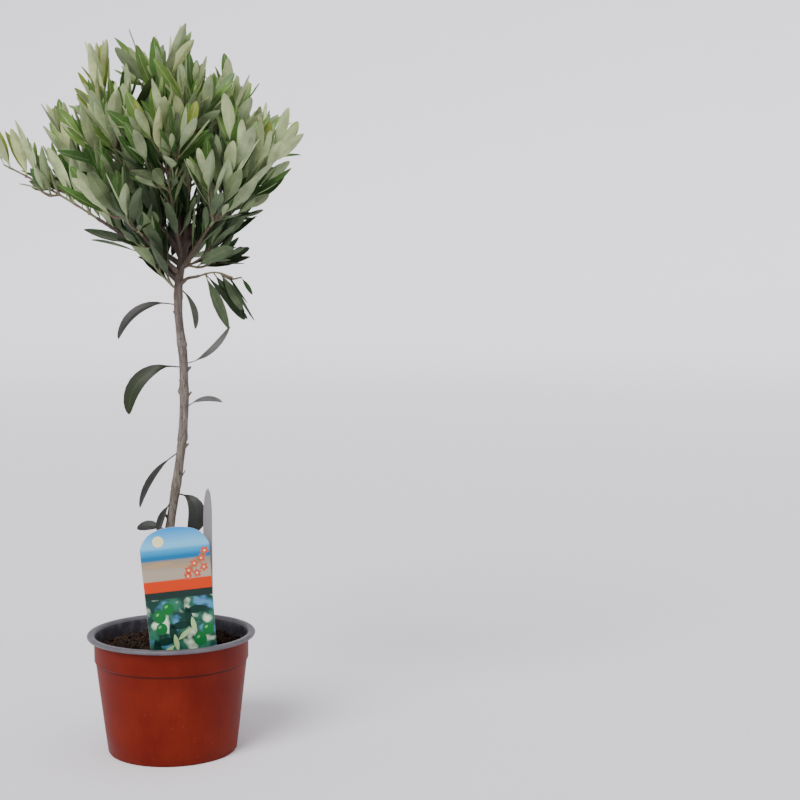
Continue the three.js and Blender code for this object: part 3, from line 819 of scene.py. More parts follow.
def soften(model: Model, edge: float, angle: float) -> None:
    """Rounds the edges that are sharper than the angle in radians, by edge millimetres."""
    limits = {"limit_method": "ANGLE", "angle_limit": angle}
    apply_modifier(model, "BEVEL", width=edge * MM, segments=2, **limits)


def settle(model: Model, name: str) -> Model:
    """Names a finished model and puts its origin at the frame's, with its place in its mesh.

    Args:
        model: The model.
        name: Its name.

    Returns:
        The same model.
    """
    select_only(model)
    bpy.ops.object.transform_apply(location=True, rotation=True, scale=True)
    model.name = name
    model.data.name = name
    return model


def hand_over(model: Model, slot: str, *nodes: str) -> None:
    """Puts a finished model on the part's body in place of its solids.

    Args:
        model: The model.
        slot: The material slot that its finish belongs to. It is not used.
        nodes: The solids that it stands for.
    """
    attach(model, BODY)
    if nodes:
        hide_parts(*nodes)
    log.info("%s: %d faces", model.name, len(model.data.polygons))


@dataclass(frozen=True)
class Ring:
    """One ring of a turned or grown form: its centre and radius in millimetres."""

    x: float
    y: float
    z: float
    radius: float

    def centre(self) -> Vector:
        """The ring's centre in metres."""
        return Vector((self.x, self.y, self.z)) * MM


def extrude_rings(rings: list[Ring], sides: int, fill: str) -> None:
    """Extrudes a circle from ring to ring, each time moved and resized, and stays in edit mode.

    Args:
        rings: The rings.
        sides: How many sides each ring has.
        fill: How the first ring is filled, NGON or NOTHING.
    """
    bpy.ops.object.select_all(action="DESELECT")
    radius, start = rings[0].radius * MM, rings[0].centre()
    bpy.ops.mesh.primitive_circle_add(vertices=sides, radius=radius, fill_type=fill, location=start)
    bpy.ops.object.mode_set(mode="EDIT")
    for before, ring in zip(rings, rings[1:]):
        step = ring.centre() - before.centre()
        bpy.ops.mesh.extrude_region_move(TRANSFORM_OT_translate={"value": step})
        growth = ring.radius / before.radius
        bpy.ops.transform.resize(value=(growth, growth, 1), center_override=ring.centre())


def turn_faces(inwards: bool) -> Model:
    """Turns all faces of the mesh in edit mode the same way and leaves edit mode.

    Args:
        inwards: Whether they face inwards.

    Returns:
        The model.
    """
    bpy.ops.mesh.select_all(action="SELECT")
    bpy.ops.mesh.normals_make_consistent(inside=inwards)
    bpy.ops.object.mode_set(mode="OBJECT")
    return bpy.context.object


def raise_rings(rings: list[Ring], sides: int) -> Model:
    """Extrudes a disc from ring to ring into a closed form, from its first cap to its last."""
    extrude_rings(rings, sides, "NGON")
    return turn_faces(inwards=False)


def points_of(model: Model) -> Places:
    """Where a model's vertices are, in millimetres."""
    return np.array([vertex.co[:] for vertex in model.data.vertices]) / MM


def set_points(model: Model, points: Places) -> None:
    """Moves the model's vertices to these places in millimetres."""
    model.data.vertices.foreach_set("co", (points * MM).ravel())
    model.data.update()


def shape_of(model: Model) -> Shape:
    """Reads a model as a shape and removes it.

    Args:
        model: The model.

    Returns:
        Its shape.
    """
    faces = [tuple(face.vertices) for face in model.data.polygons]
    shape = shape_from(points_of(model), faces)
    bpy.data.objects.remove(model, do_unlink=True)
    return shape


# The plant's rule of growth


@dataclass(frozen=True)
class Spot:
    """A place on a path, with the path's direction there and two directions across it."""

    point: Vector
    along: Vector
    side: Vector
    across: Vector

    def outward(self, turn: float) -> Vector:
        """The direction away from the path at an angle round it."""
        return self.side * math.cos(math.radians(turn)) + self.across * math.sin(math.radians(turn))

    def leaning(self, turn: float, spread: float) -> Vector:
        """The direction that leans away from the path by the angle spread, at an angle round it."""
        lean = math.radians(spread)
        return self.along * math.cos(lean) + self.outward(turn) * math.sin(lean)


def to_path(points: list[Vector]) -> list[Spot]:
    """Gives each point of a path its directions, which don't twist round it.

    Args:
        points: The points.

    Returns:
        The path.
    """
    spots = []
    side = Vector()
    for i, point in enumerate(points):
        before = points[max(i - 1, 0)]
        after = points[min(i + 1, len(points) - 1)]
        along = (after - before).normalized()
        if i == 0:
            level = UP if abs(along.z) < 0.98 else Vector((0, 1, 0))
            side = level.cross(along)
        side = (side - along * side.dot(along)).normalized()
        spots.append(Spot(point, along, side.copy(), side.cross(along)))
    return spots


def grow(start: Vector, direction: Vector, pull: float, length: float, step: float) -> list[Spot]:
    """Grows a path that is pulled upwards, or downwards where pull is negative.

    Args:
        start: Where it begins.
        direction: The way it sets out.
        pull: How much upward direction it gains over its length.
        length: Its length.
        step: About how long each straight piece is.

    Returns:
        The path.
    """
    steps = max(2, math.floor(length / step + 0.5))
    course = direction.copy()
    points = [start.copy()]
    for _ in range(steps):
        points.append(points[-1] + course * (length / steps))
        course = (course + UP * (pull / steps)).normalized()
    return to_path(points)


def spot_on(path: list[Spot], fraction: float) -> Spot:
    """Finds the spot at a fraction of a path's length.

    Args:
        path: The path.
        fraction: From 0 at its start to 1 at its end.

    Returns:
        The spot.
    """
    place = min(max(fraction, 0), 1) * (len(path) - 1)
    index = min(math.floor(place), len(path) - 2)
    return replace(path[index], point=path[index].point.lerp(path[index + 1].point, place - index))


def rounded(path: list[Spot], step: float) -> list[Spot]:
    """Draws a smooth curve through the points of a path.

    Args:
        path: The path.
        step: About how far apart the curve's spots are.

    Returns:
        The curve.
    """
    points = [spot.point for spot in path]
    ends = [points[0] * 2 - points[1]] + points + [points[-1] * 2 - points[-2]]
    curve = []
    for a, b, c, d in zip(ends, ends[1:], ends[2:], ends[3:]):
        count = max(1, round((c - b).length / step))
        for i in range(count):
            t = i / count
            bend = a * (-t + 2 * t**2 - t**3) + b * (2 - 5 * t**2 + 3 * t**3)
            curve.append((bend + c * (t + 4 * t**2 - 3 * t**3) + d * (t**3 - t**2)) / 2)
    return to_path(curve + [points[-1]])


def trunk_point(height: float) -> Vector:
    """The trunk's centre at a height above its foot."""
    shifts = (Vector((x, y, 0)) * smooth(height, low, high) for low, high, x, y in TRUNK_BENDS)
    return sum(shifts, UP * height)


def nearest_knot(height: float) -> tuple[int, float]:
    """The number of the trunk's knot nearest to a height, and how far above it the height is."""
    knot = max(round((height - KNOT_FIRST) / KNOT_SPACING), 0)
    return knot, height - KNOT_FIRST - knot * KNOT_SPACING


def trunk_radius(height: float) -> float:
    """Adds up the trunk's taper, its flare and the swellings at its knots.

    Args:
        height: The height above the trunk's foot.

    Returns:
        The radius there.
    """
    _, from_knot = nearest_knot(height)
    swelling = KNOT_SWELLING * math.exp(-((from_knot / KNOT_HALF_HEIGHT) ** 2))
    taper = TRUNK_TAPER * (1 - height / TRUNK_HEIGHT)
    return TRUNK_TOP_RADIUS + taper + FLARE * math.exp(-height / FLARE_HEIGHT) + swelling


@dataclass
class Twig:
    """A stem or shoot of a mass.

    Attributes:
        path: Its course.
        base: Its radius at its base.
        tip: Its radius at its tip.
        limb: The row of its mass.
        mass: The number of that row.
        index: The twig's number in its mass.
        stem: The course of the mass's stem.
        spacing: Distance between its pairs of leaves.
        leaf: Size of its leaves, as a share of a full-grown one.
    """

    path: list[Spot]
    length: float
    base: float
    tip: float
    limb: Limb
    mass: int
    index: int
    stem: list[Spot]
    spacing: float = NODE_SPACING
    leaf: float = 1.0

    def nodes(self) -> int:
        """How many pairs of leaves the twig has."""
        first = min(NODE_FIRST, self.spacing)
        return max(1, math.floor((self.length - first) / self.spacing) + 1)

    def fraction(self, node: float) -> float:
        """Where on the twig a node is, from 0 to 1."""
        return min((min(NODE_FIRST, self.spacing) + node * self.spacing) / self.length, 1)

    def turn(self, node: float, side: int) -> float:
        """The angle round the twig of the leaf on one side of a node."""
        return 360 * chance(self.mass, self.index, 5) + 90 * node + 180 * side

    def axils(self) -> list[tuple[int, int]]:
        """Each node of the twig with each of its sides, from the base to the tip."""
        return [(node, side) for node in range(self.nodes()) for side in (0, 1)]


@dataclass
class Leaf:
    """A leaf: where it springs from, its three directions, its sizes, and its tone and number."""

    node: Vector
    along: Vector
    facing: Vector
    across: Vector
    length: float
    width: float
    curl: float
    tone: Tone = Tone.SAGE
    key: int = 0

    def point(self, fraction: float) -> Vector:
        """The middle of the blade at a fraction of its length."""
        rise = self.length * self.curl * fraction * fraction
        return self.node + self.along * (self.length * fraction) + self.facing * rise

    def feelers(self) -> list[Vector]:
        """Lists points of the blade that have to stay clear of other leaves.

        Returns:
            Six points along the middle, and one on each side.
        """
        middle = [self.point(fraction) for fraction in (0.25, 0.4, 0.55, 0.7, 0.85, 1.0)]
        reach = self.across * (self.width * 0.3)
        return middle + [self.point(0.5) + reach, self.point(0.5) - reach]


def leaf_on(twig: Twig, node: float, side: int, attempt: int) -> Leaf:
    """One leaf of a pair.

    Args:
        twig: The twig that it grows on.
        node: The number of its node from the twig's base, or a number between two.
        side: 0 or 1, for the two leaves of the pair.
        attempt: Later attempts turn and tip the leaf a little further.

    Returns:
        The leaf.
    """
    keys = (twig.mass, twig.index, math.floor(node), side, attempt)
    loose = 1 + STRAY_PER_TRY * attempt
    fraction = twig.fraction(node)
    spot = spot_on(twig.path, fraction)
    turn = twig.turn(node, side) + STRAY_TURN * loose * sway(*keys, 1)
    spread = mix(SPREAD_AT_BASE, SPREAD_AT_TIP, fraction) + STRAY_SPREAD * loose * sway(*keys, 2)
    along = (spot.leaning(turn, spread) + UP * twig.limb.uplift).normalized()
    facing = -spot.outward(turn)
    facing = (facing - along * facing.dot(along)).normalized()
    facing = Matrix.Rotation(math.radians(STRAY_ROLL * sway(*keys, 3)), 3, along) @ facing
    loss = LOSS_AT_TIP * fraction**3 + LOSS_AT_BASE * (1 - fraction)
    size = 1 + LENGTH_VARIATION * sway(twig.mass, twig.index, math.floor(node), 4)
    length = LEAF_LENGTH * (1 - loss) * size * twig.leaf
    curl = CURL + CURL_VARIATION * sway(*keys, 5)
    width = length * LEAF_SLENDERNESS * (1 - LEAF_NARROWING * chance(*keys, 6))
    return Leaf(spot.point, along, facing, facing.cross(along), length, width, curl)


class PackedMass:
    """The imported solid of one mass, asked which of the rule's twigs and leaves it holds."""

    def __init__(self, name: str) -> None:
        """Sorts the solid's vertices, in millimetres from the foot of the trunk.

        Args:
            name: The solid's name.
        """
        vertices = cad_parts[name].data.vertices
        self.tree = kdtree.KDTree(len(vertices))
        for i, vertex in enumerate(vertices):
            self.tree.insert(vertex.co / MM - TREE_FOOT, i)
        self.tree.balance()
        low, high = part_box(name)
        margin = Vector((SPACE_MARGIN, SPACE_MARGIN, SPACE_MARGIN))
        self.low = low / MM - TREE_FOOT - margin
        self.high = high / MM - TREE_FOOT + margin

    def widen(self, point: Vector) -> None:
        """Stretches the mass's own space as far as a point."""
        self.low = Vector(map(min, self.low, point))
        self.high = Vector(map(max, self.high, point))

    def has(self, point: Vector) -> bool:
        """True if the solid has a corner at that point."""
        return self.tree.find(point)[2] < FOUND

    def spans(self, point: Vector) -> bool:
        """True if the point is in the mass's own space."""
        return all(self.low[axis] <= point[axis] <= self.high[axis] for axis in range(3))


@dataclass
class Room:
    """The space that leaves and twigs take, so that a finer leaf that would cross one is left out.

    Attributes:
        gap: The least distance between points of two leaves.
        cells: The points so far, by the cube of space that they are in.
    """

    gap: float = LEAF_GAP
    cells: dict = field(default_factory=dict)

    def cell(self, point: Vector) -> tuple[int, int, int]:
        """The cube that a point is in."""
        return tuple(math.floor(value / self.gap) for value in point)

    def take(self, points: list[Vector]) -> None:
        """Remembers points that are taken."""
        for point in points:
            self.cells.setdefault(self.cell(point), []).append(point)

    def is_free(self, points: list[Vector]) -> bool:
        """Looks in the cubes round each point.

        Args:
            points: The points.

        Returns:
            True if all of them lie further than the gap from every taken one.
        """
        for point in points:
            x, y, z = self.cell(point)
            for near in product((x - 1, x, x + 1), (y - 1, y, y + 1), (z - 1, z, z + 1)):
                if any((other - point).length < self.gap for other in self.cells.get(near, ())):
                    return False
        return True


# Shapes of leaves and twigs


# Where along a leaf its blade begins and its stalk ends, which is STALK_DEPTH times as thick
BLADE_START = 0.1
STALK_END = 0.11
STALK_DEPTH = 1.7
# The length of a rod's pointed tip, as a share of its radius there
TIP_LENGTH = 1.4
# A blade's thickness, from the smallest leaf's to a full-grown one's
THINNEST = 0.35
THICKEST = 0.55
# How far a leaf curves sideways, as a share of its length, and how far it twists and from where
SIDE_CURVE = 0.16
TWIST = 26.0
TWIST_START = 0.2
# Places of the rings along a leaf, from the foot of the stalk to the tip
BLADE_RINGS = (0.0, 0.1, 0.18, 0.33, 0.52, 0.71, 0.86, 0.955, 0.996)
CURVED_RINGS = (0.0, 0.1, 0.17, 0.25, 0.34, 0.43, 0.52, 0.61, 0.7, 0.78, 0.86, 0.92, 0.965, 0.997)


@dataclass
class LeafPattern:
    """One leaf, modelled once and then bent into each leaf's place.

    Attributes:
        widest: Where along the leaf it is widest, from 0 to 1.
        taper: How round its outline is towards the stalk: 1 is lens-shaped, and less is fuller.
        bluntness: How blunt its tip is: 0.5 is round, and 1 is pointed.
        fold: How far the halves fold up from the midrib, as a share of the half width.
        stalk: The stalk's width, as a share of the blade's.
        sides: How many corners each ring has.
        crowding: How closely the corners gather at the midrib.
        rib: How far the midrib stands out below and is sunk in above, as a share of the thickness.
        rings: Places along the leaf.
        form: The pattern's faces. Its points are shares: sideways, lift, depth, and the ring's number.
    """

    widest: float = 0.56
    taper: float = 0.95
    bluntness: float = 0.68
    fold: float = 0.22
    stalk: float = 0.09
    sides: int = 6
    crowding: float = 4.5
    rib: float = 0.7
    rings: tuple[float, ...] = BLADE_RINGS
    form: Shape | None = None

    def half_width(self, place: float) -> float:
        """Follows the outline from the thin stalk over the widest place to the tip.

        Args:
            place: The place along the leaf, from 0 to 1.

        Returns:
            Half the width there, as a share of the widest half.
        """
        if place < STALK_END:
            return self.stalk
        if place < self.widest:
            rise = (place - BLADE_START) / (self.widest - BLADE_START)
            return math.sin(rise * math.pi / 2) ** self.taper
        return math.sin((1 - place) / (1 - self.widest) * math.pi / 2) ** self.bluntness

    def model(self) -> "LeafPattern":
        """Models the leaf standing up, as a tube extruded from its stalk to its tip, and flattens it.

        Returns:
            The same pattern, with its form, which wears finish 0 above, 1 below and 2 on the midrib.
        """
        rings = [Ring(0, 0, place, self.half_width(place)) for place in self.rings]
        form = shape_of(raise_rings(rings, self.sides))
        places = np.array(self.rings)
        ring = np.argmin(np.abs(form.points[:, 2][:, None] - places[None, :]), axis=1)
        width = np.array([self.half_width(place) for place in self.rings])[ring]
        angle = np.arctan2(-form.points[:, 0], form.points[:, 1])
        is_blade = places[ring] > STALK_END
        cosine = np.cos(angle)
        gathered = np.sign(cosine) * np.abs(cosine) ** np.where(is_blade, self.crowding, 1)
        middle = np.abs(gathered) < 0.1
        depth = np.sin(angle) * np.where(is_blade, 1, STALK_DEPTH) - self.rib * (middle & is_blade)
        lift = self.fold * np.abs(gathered) * width * is_blade
        form.points = np.stack([gathered * width, lift, depth, ring], axis=1)
        is_above = np.add.reduceat(np.sin(angle)[form.corners], form.starts) >= 0
        is_rib = np.logical_and.reduceat((middle & is_blade)[form.corners], form.starts)
        form.finishes = np.where(is_rib, 2, np.where(is_above, 0, 1))
        self.form = form
        return self

    def bent(self, spine: Places, across: Places, facing: Places, width: float, thick: float) -> Shape:
        """Bends the leaf along a spine.

        Args:
            spine: The middle of the blade at each ring.
            across: The direction across it there.
            facing: The direction that its upper side faces there.
            width: The blade's full width.
            thick: The blade's thickness.

        Returns:
            The leaf.
        """
        sideways, lift, depth, ring = self.form.points.T
        ring = ring.astype(int)
        half = width / 2
        rise = lift * half + depth * thick / 2
        points = spine[ring] + across[ring] * (sideways * half)[:, None] + facing[ring] * rise[:, None]
        return replace(self.form, points=points)


def leaf_shape(leaf: Leaf, pattern: LeafPattern) -> Shape:
    """Bends a pattern into a leaf, with a little sideways curve and twist of its own.

    Args:
        leaf: The leaf, in millimetres from the foot of the trunk.
        pattern: The pattern to bend.

    Returns:
        The shape in the frame of the pot.
    """
    t = np.array(pattern.rings)[:, None]
    along, facing, across = (np.array(v) for v in (leaf.along, leaf.facing, leaf.across))
    side = leaf.length * SIDE_CURVE * sway(leaf.key, 61)
    spine = np.array(leaf.node + TREE_FOOT) + along * (leaf.length * t)
    spine = spine + facing * (leaf.length * leaf.curl * t**2) + across * (side * (t - t**2))
    twist = math.radians(TWIST) * sway(leaf.key, 62) * (t - TWIST_START)
    turned_across = across * np.cos(twist) + facing * np.sin(twist)
    turned_facing = facing * np.cos(twist) - across * np.sin(twist)
    thick = mix(THINNEST, THICKEST, leaf.length / LEAF_LENGTH)
    return pattern.bent(spine, turned_across, turned_facing, leaf.width, thick)


def tube(path: list[Spot], radii: list[float], sides: int, ridge: float = 0.0, key: int = 0) -> Shape:
    """Makes a closed rod along a path, from a flat base to a pointed tip.

    Args:
        path: Its course, in millimetres from the foot of the trunk.
        radii: Its radius at each spot.
        sides: How many sides it has.
        ridge: How far the bark stands out or in, in millimetres.
        key: Which stretch of the bark's noise it takes.

    Returns:
        The rod as a shape in the frame of the pot.
    """
    points = []
    for i, (spot, radius) in enumerate(zip(path, radii)):
        for corner in range(sides):
            angle = 2 * math.pi * corner / sides
            out = spot.side * math.cos(angle) + spot.across * math.sin(angle)
            place = Vector((3 * math.cos(angle) + key, 3 * math.sin(angle), 0.5 * i))
            rough = ridge * noise.noise(place)
            points.append(spot.point + TREE_FOOT + out * (radius + rough))
    tip = len(points)
    points.append(path[-1].point + TREE_FOOT + path[-1].along * radii[-1] * TIP_LENGTH)
    edges = [(corner, (corner + 1) % sides) for corner in range(sides)]
    faces = [tuple(reversed(range(sides)))]
    for low in range(0, tip - sides, sides):
        high = low + sides
        faces += [(low + left, low + right, high + right, high + left) for left, right in edges]
    faces += [(tip - sides + left, tip - sides + right, tip) for left, right in edges]
    return shape_from(points, faces)


# The pot and what stands in it


def inner_radius(height: float) -> float:
    """The radius inside the pot's wall at a height above its underside."""
    return mix(BASE_RADIUS, BAND_RADIUS - BAND_STEP, height / BAND_BOTTOM) - WALL


@dataclass
class NurseryPot:
    """The thermoformed pot: rolled lip, upper band, tapered wall, raised floor with drain holes."""

    sides: int = 128
    roll: float = 3.3
    foot_width: float = 8.0
    pad_radius: float = 15.0
    drain_holes: int = 8
    drain_radius: float = 4.0
    drain_circle: float = 28.0
    edge: float = 0.35

    def profile(self) -> list[tuple[float, float]]:
        """Lists the pot's outline, from the middle of the underside, over the lip, to the floor inside.

        Returns:
            The radius and the height of each ring.
        """
        foot = BASE_RADIUS - self.foot_width
        wall_top = BAND_RADIUS - BAND_STEP
        outside = [
            (self.pad_radius, 0),
            (self.pad_radius + FLOOR_LIFT, FLOOR_LIFT),
            (foot - FLOOR_LIFT, FLOOR_LIFT),
            (foot, 0),
            (BASE_RADIUS - 1, 0),
            (BASE_RADIUS, 1.5),
        ]
        for share in (0.25, 0.5, 0.75):
            outside.append((mix(BASE_RADIUS, wall_top, share), BAND_BOTTOM * share))
        outside += [
            (wall_top, BAND_BOTTOM),
            (wall_top + 0.2, BAND_BOTTOM + 0.4),
            (BAND_RADIUS - 0.35, BAND_BOTTOM + 1.0),
            (BAND_RADIUS - 0.1, BAND_BOTTOM + 1.6),
            (BAND_RADIUS, LIP_BOTTOM),
            (BAND_RADIUS + 0.4, POT_HEIGHT - self.roll - 0.1),
        ]
        half = self.roll / 2
        lip = []
        for step in range(13):
            angle = math.pi * (step / 12 - 0.5)
            radius = RIM_RADIUS - half + half * math.cos(angle)
            lip.append((radius, POT_HEIGHT - half + half * math.sin(angle)))
        top = [
            (BAND_RADIUS + 1.2, POT_HEIGHT),
            (BAND_RADIUS + 0.1, POT_HEIGHT - 0.6),
            (BAND_RADIUS - 0.7, POT_HEIGHT - 2.2),
            (inner_radius(LIP_BOTTOM), LIP_BOTTOM - 0.5),
            (inner_radius(BAND_BOTTOM), BAND_BOTTOM),
            (inner_radius(FLOOR_TOP + 3), FLOOR_TOP + 3),
            (inner_radius(FLOOR_TOP) - 2.5, FLOOR_TOP),
            (self.pad_radius, FLOOR_TOP),
        ]
        return outside + lip + top

    def build(self) -> None:
        """Turns the profile, softens its edges, drills the floor and dresses the two layers."""
        rings = [Ring(0, 0, height, radius) for radius, height in self.profile()]
        pot = settle(raise_rings(rings, self.sides), "nursery_pot")
        soften(pot, self.edge, 0.5)
        self.drill(pot)
        self.dress(pot)
        smooth_by(pot, 35)
        hand_over(pot, "pot", "pot")

    def drill(self, pot: Model) -> None:
        """Cuts the drain holes through the floor.

        Args:
            pot: The pot.
        """
        bpy.ops.object.select_all(action="DESELECT")
        size = {"vertices": 24, "radius": self.drain_radius * MM, "depth": 4 * FLOOR_TOP * MM}
        drills = []
        for i in range(self.drain_holes):
            angle = 2 * math.pi * (i + 0.5) / self.drain_holes
            place = Vector((math.cos(angle), math.sin(angle), 0)) * self.drain_circle * MM
            bpy.ops.mesh.primitive_cylinder_add(location=place, **size)
            drills.append(bpy.context.object)
        for drill in drills:
            drill.select_set(True)
        bpy.ops.object.join()
        cutter = bpy.context.object
        apply_modifier(pot, "BOOLEAN", object=cutter, operation="DIFFERENCE", solver="EXACT")
        bpy.data.objects.remove(cutter, do_unlink=True)

    def dress(self, pot: Model) -> None:
        """Gives the outside the terracotta layer, the lip the grey one, and the inside the grey one
        darkened with painted shade.

        Args:
            pot: The pot.
        """
        pot.data.materials.clear()
        for finish in (POT_OUTSIDE, POT_LIP, POT_SHADED_INSIDE):
            pot.data.materials.append(finish.make())
        for face in pot.data.polygons:
            centre = face.center / MM
            radius = math.hypot(centre.x, centre.y)
            is_lip = centre.z > POT_HEIGHT - self.roll - 0.1 and radius > BAND_RADIUS - 0.4
            # The inside wears the grey that is darkened with painted shade
            is_inside = centre.z > FLOOR_TOP - 0.3 and radius < inner_radius(centre.z) + WALL / 2
            face.material_index = 1 if is_lip else 2 if is_inside else 0


@dataclass
class Soil:
    """Peat that fills the pot: a plug with a rough mound, crumbs and fibres on top.

    Attributes:
        patch: The radius of the mound's even middle.
        lumps: For each size of lump, how high it is and how far apart such lumps are.
        crumb: The least and the greatest radius of a crumb.
        fibre: The least and the greatest length of a fibre.
    """

    sides: int = 96
    rings: int = 44
    patch: float = 9.0
    lumps: tuple[tuple[float, float], ...] = ((1.9, 6.5), (1.3, 2.6), (0.5, 1.1))
    crumbs: int = 1900
    crumb: tuple[float, float] = (0.5, 2.4)
    fibres: int = 150
    fibre: tuple[float, float] = (4, 13)
    fibre_steps: int = 6
    dice: random.Random = field(default_factory=lambda: random.Random(SEED))

    def edge(self) -> float:
        """The radius at which the mound meets the pot."""
        return inner_radius(SOIL_EDGE) - CLEARANCE

    def height(self, x: float, y: float) -> float:
        """Adds up the mound, its waves and lumps, and the little heap at the foot of the trunk.

        Args:
            x: The place in millimetres.
            y: The place in millimetres.

        Returns:
            The height of the soil there.
        """
        radius = math.hypot(x, y)
        share = 1 - (radius - self.patch) / (self.edge() - self.patch)
        mound = mix(SOIL_EDGE, GROUND, smooth(share, 0, 1))
        waves = math.sin(x / 5.3 + 1) * math.cos(y / 6.1) + 0.6 * math.sin((x - y) / 3.7)
        rough = sum(high * noise.noise(Vector((x, y, 0)) / apart) for high, apart in self.lumps)
        from_trunk = math.hypot(x - TREE_FOOT.x, y - TREE_FOOT.y)
        heap = 0.9 * math.exp(-((from_trunk / 7) ** 2))
        trodden = mix(0.3, 1, smooth(from_trunk, self.patch * 0.6, self.patch * 2))
        return mound + (waves * 0.9 + rough) * trodden + heap

    def build(self) -> None:
        """Makes the plug with its mound, then the loose crumbs and fibres."""
        low = FLOOR_TOP + CLEARANCE
        floor_radius = inner_radius(low) - CLEARANCE
        rings = [Ring(0, 0, low, floor_radius * 0.5), Ring(0, 0, low, floor_radius)]
        rings += [Ring(0, 0, SOIL_EDGE - 1, self.edge()), Ring(0, 0, SOIL_EDGE, self.edge())]
        for i in range(1, self.rings):
            radius = self.edge() * (1 - i / self.rings)
            rings.append(Ring(0, 0, SOIL_EDGE + i * 0.01, radius))
        mound = settle(raise_rings(rings, self.sides), "peat_mound")
        points = points_of(mound)
        for point in points:
            if point[2] > SOIL_EDGE - 0.5:
                point[2] = self.height(point[0], point[1])
        set_points(mound, points)
        mound.data.materials.append(PEAT.make())
        smooth_by(mound, 60)
        hand_over(mound, "soil", "soil")
        self.scatter_crumbs()
        self.scatter_fibres()

    def spot(self) -> tuple[float, float]:
        """Picks a place on the soil for a loose piece, spread evenly over the mound.

        Returns:
            The place in X and Y.
        """
        radius = (self.edge() - 2.5) * math.sqrt(self.dice.random())
        angle = self.dice.uniform(0, 2 * math.pi)
        return radius * math.cos(angle), radius * math.sin(angle)

    def scatter_crumbs(self) -> None:
        """Joins many copies of one crumb, each with its own size, turn and dents."""
        bpy.ops.object.select_all(action="DESELECT")
        bpy.ops.mesh.primitive_ico_sphere_add(subdivisions=1, radius=MM)
        crumb = shape_of(bpy.context.object)
        shapes = []
        for _ in range(self.crumbs):
            x, y = self.spot()
            size = mix(*self.crumb, self.dice.random() ** 2)
            axis = heading(self.dice.uniform(0, 360), self.dice.uniform(-60, 60))
            turn = np.array(Matrix.Rotation(self.dice.uniform(0, 6), 3, axis))
            dents = np.array([[self.dice.uniform(0.6, 1.3)] for _ in crumb.points])
            stretch = np.array([1.3, 0.9, 0.7])
            centre = np.array([x, y, self.height(x, y) + 0.15 * size])
            points = (crumb.points * dents * stretch * size) @ turn.T + centre
            shapes.append(replace(crumb, points=points))
        model = model_from("peat_crumbs", joined(shapes), [PEAT_CRUMB.make()], 40)
        hand_over(model, "soil")

    def scatter_fibres(self) -> None:
        """Lays thin bent fibres on the soil, each kept inside the pot."""
        shapes = []
        for _ in range(self.fibres):
            x, y = self.spot()
            length = mix(*self.fibre, self.dice.random() ** 1.5)
            angle = self.dice.uniform(0, 2 * math.pi)
            bend = self.dice.uniform(-1.6, 1.6)
            points = []
            for i in range(self.fibre_steps):
                arch = 0.3 + 0.7 * math.sin(i * 0.63)
                points.append(Vector((x, y, self.height(x, y) + arch)) - TREE_FOOT)
                angle += bend / self.fibre_steps
                x += length / self.fibre_steps * math.cos(angle)
                y += length / self.fibre_steps * math.sin(angle)
                inward = min(1, (self.edge() - 1.5) / max(math.hypot(x, y), 1))
                x, y = x * inward, y * inward
            radius = mix(0.12, 0.32, self.dice.random() ** 2)
            shapes.append(tube(to_path(points), [radius] * len(points), 4))
        model = model_from("peat_fibres", joined(shapes), [FIBRE.make()])
        hand_over(model, "soil")


@dataclass
class Plate:
    """A flat piece that is pushed into the soil: modelled upright, then leant, turned and moved."""

    x: float
    y: float
    yaw: float
    tilt: float

    def placing(self) -> Matrix:
        """Works out where the piece stands.

        Returns:
            The matrix that sets it in its place, in metres.
        """
        yaw = Matrix.Rotation(math.radians(self.yaw), 4, "Z")
        tilt = Matrix.Rotation(math.radians(self.tilt), 4, "Y")
        return Matrix.Translation(Vector((self.x, self.y, GROUND - SEATING)) * MM) @ (yaw @ tilt)

    def outline(self, columns: int, rows: int, place: Callable) -> Model:
        """Shapes a grid into the plate's front.

        Args:
            columns: Faces across.
            rows: Faces up.
            place: A function from two shares, across and up, to a place in millimetres.

        Returns:
            The model, a sheet with its front facing -Y and its UV map upright.
        """
        bpy.ops.object.select_all(action="DESELECT")
        bpy.ops.mesh.primitive_grid_add(x_subdivisions=columns, y_subdivisions=rows, size=1)
        sheet = bpy.context.object
        sheet.data.uv_layers[0].name = "UVMap"
        for vertex in sheet.data.vertices:
            x, z = place(vertex.co.x + 0.5, vertex.co.y + 0.5)
            vertex.co = Vector((x, 0, z)) * MM
        chart = sheet.data.uv_layers[0].data
        for corner in sheet.data.loops:
            spot = sheet.data.vertices[corner.vertex_index].co
            chart[corner.index].uv = Vector((spot.x, spot.z)) / (CARD_CHART * MM) + Vector((0.5, 0))
        return sheet

    def thicken(self, sheet: Model, thickness: float, edge: float) -> None:
        """Gives the sheet its thickness and softened edges."""
        apply_modifier(sheet, "SOLIDIFY", thickness=thickness * MM, offset=0)
        soften(sheet, edge, 1.0)


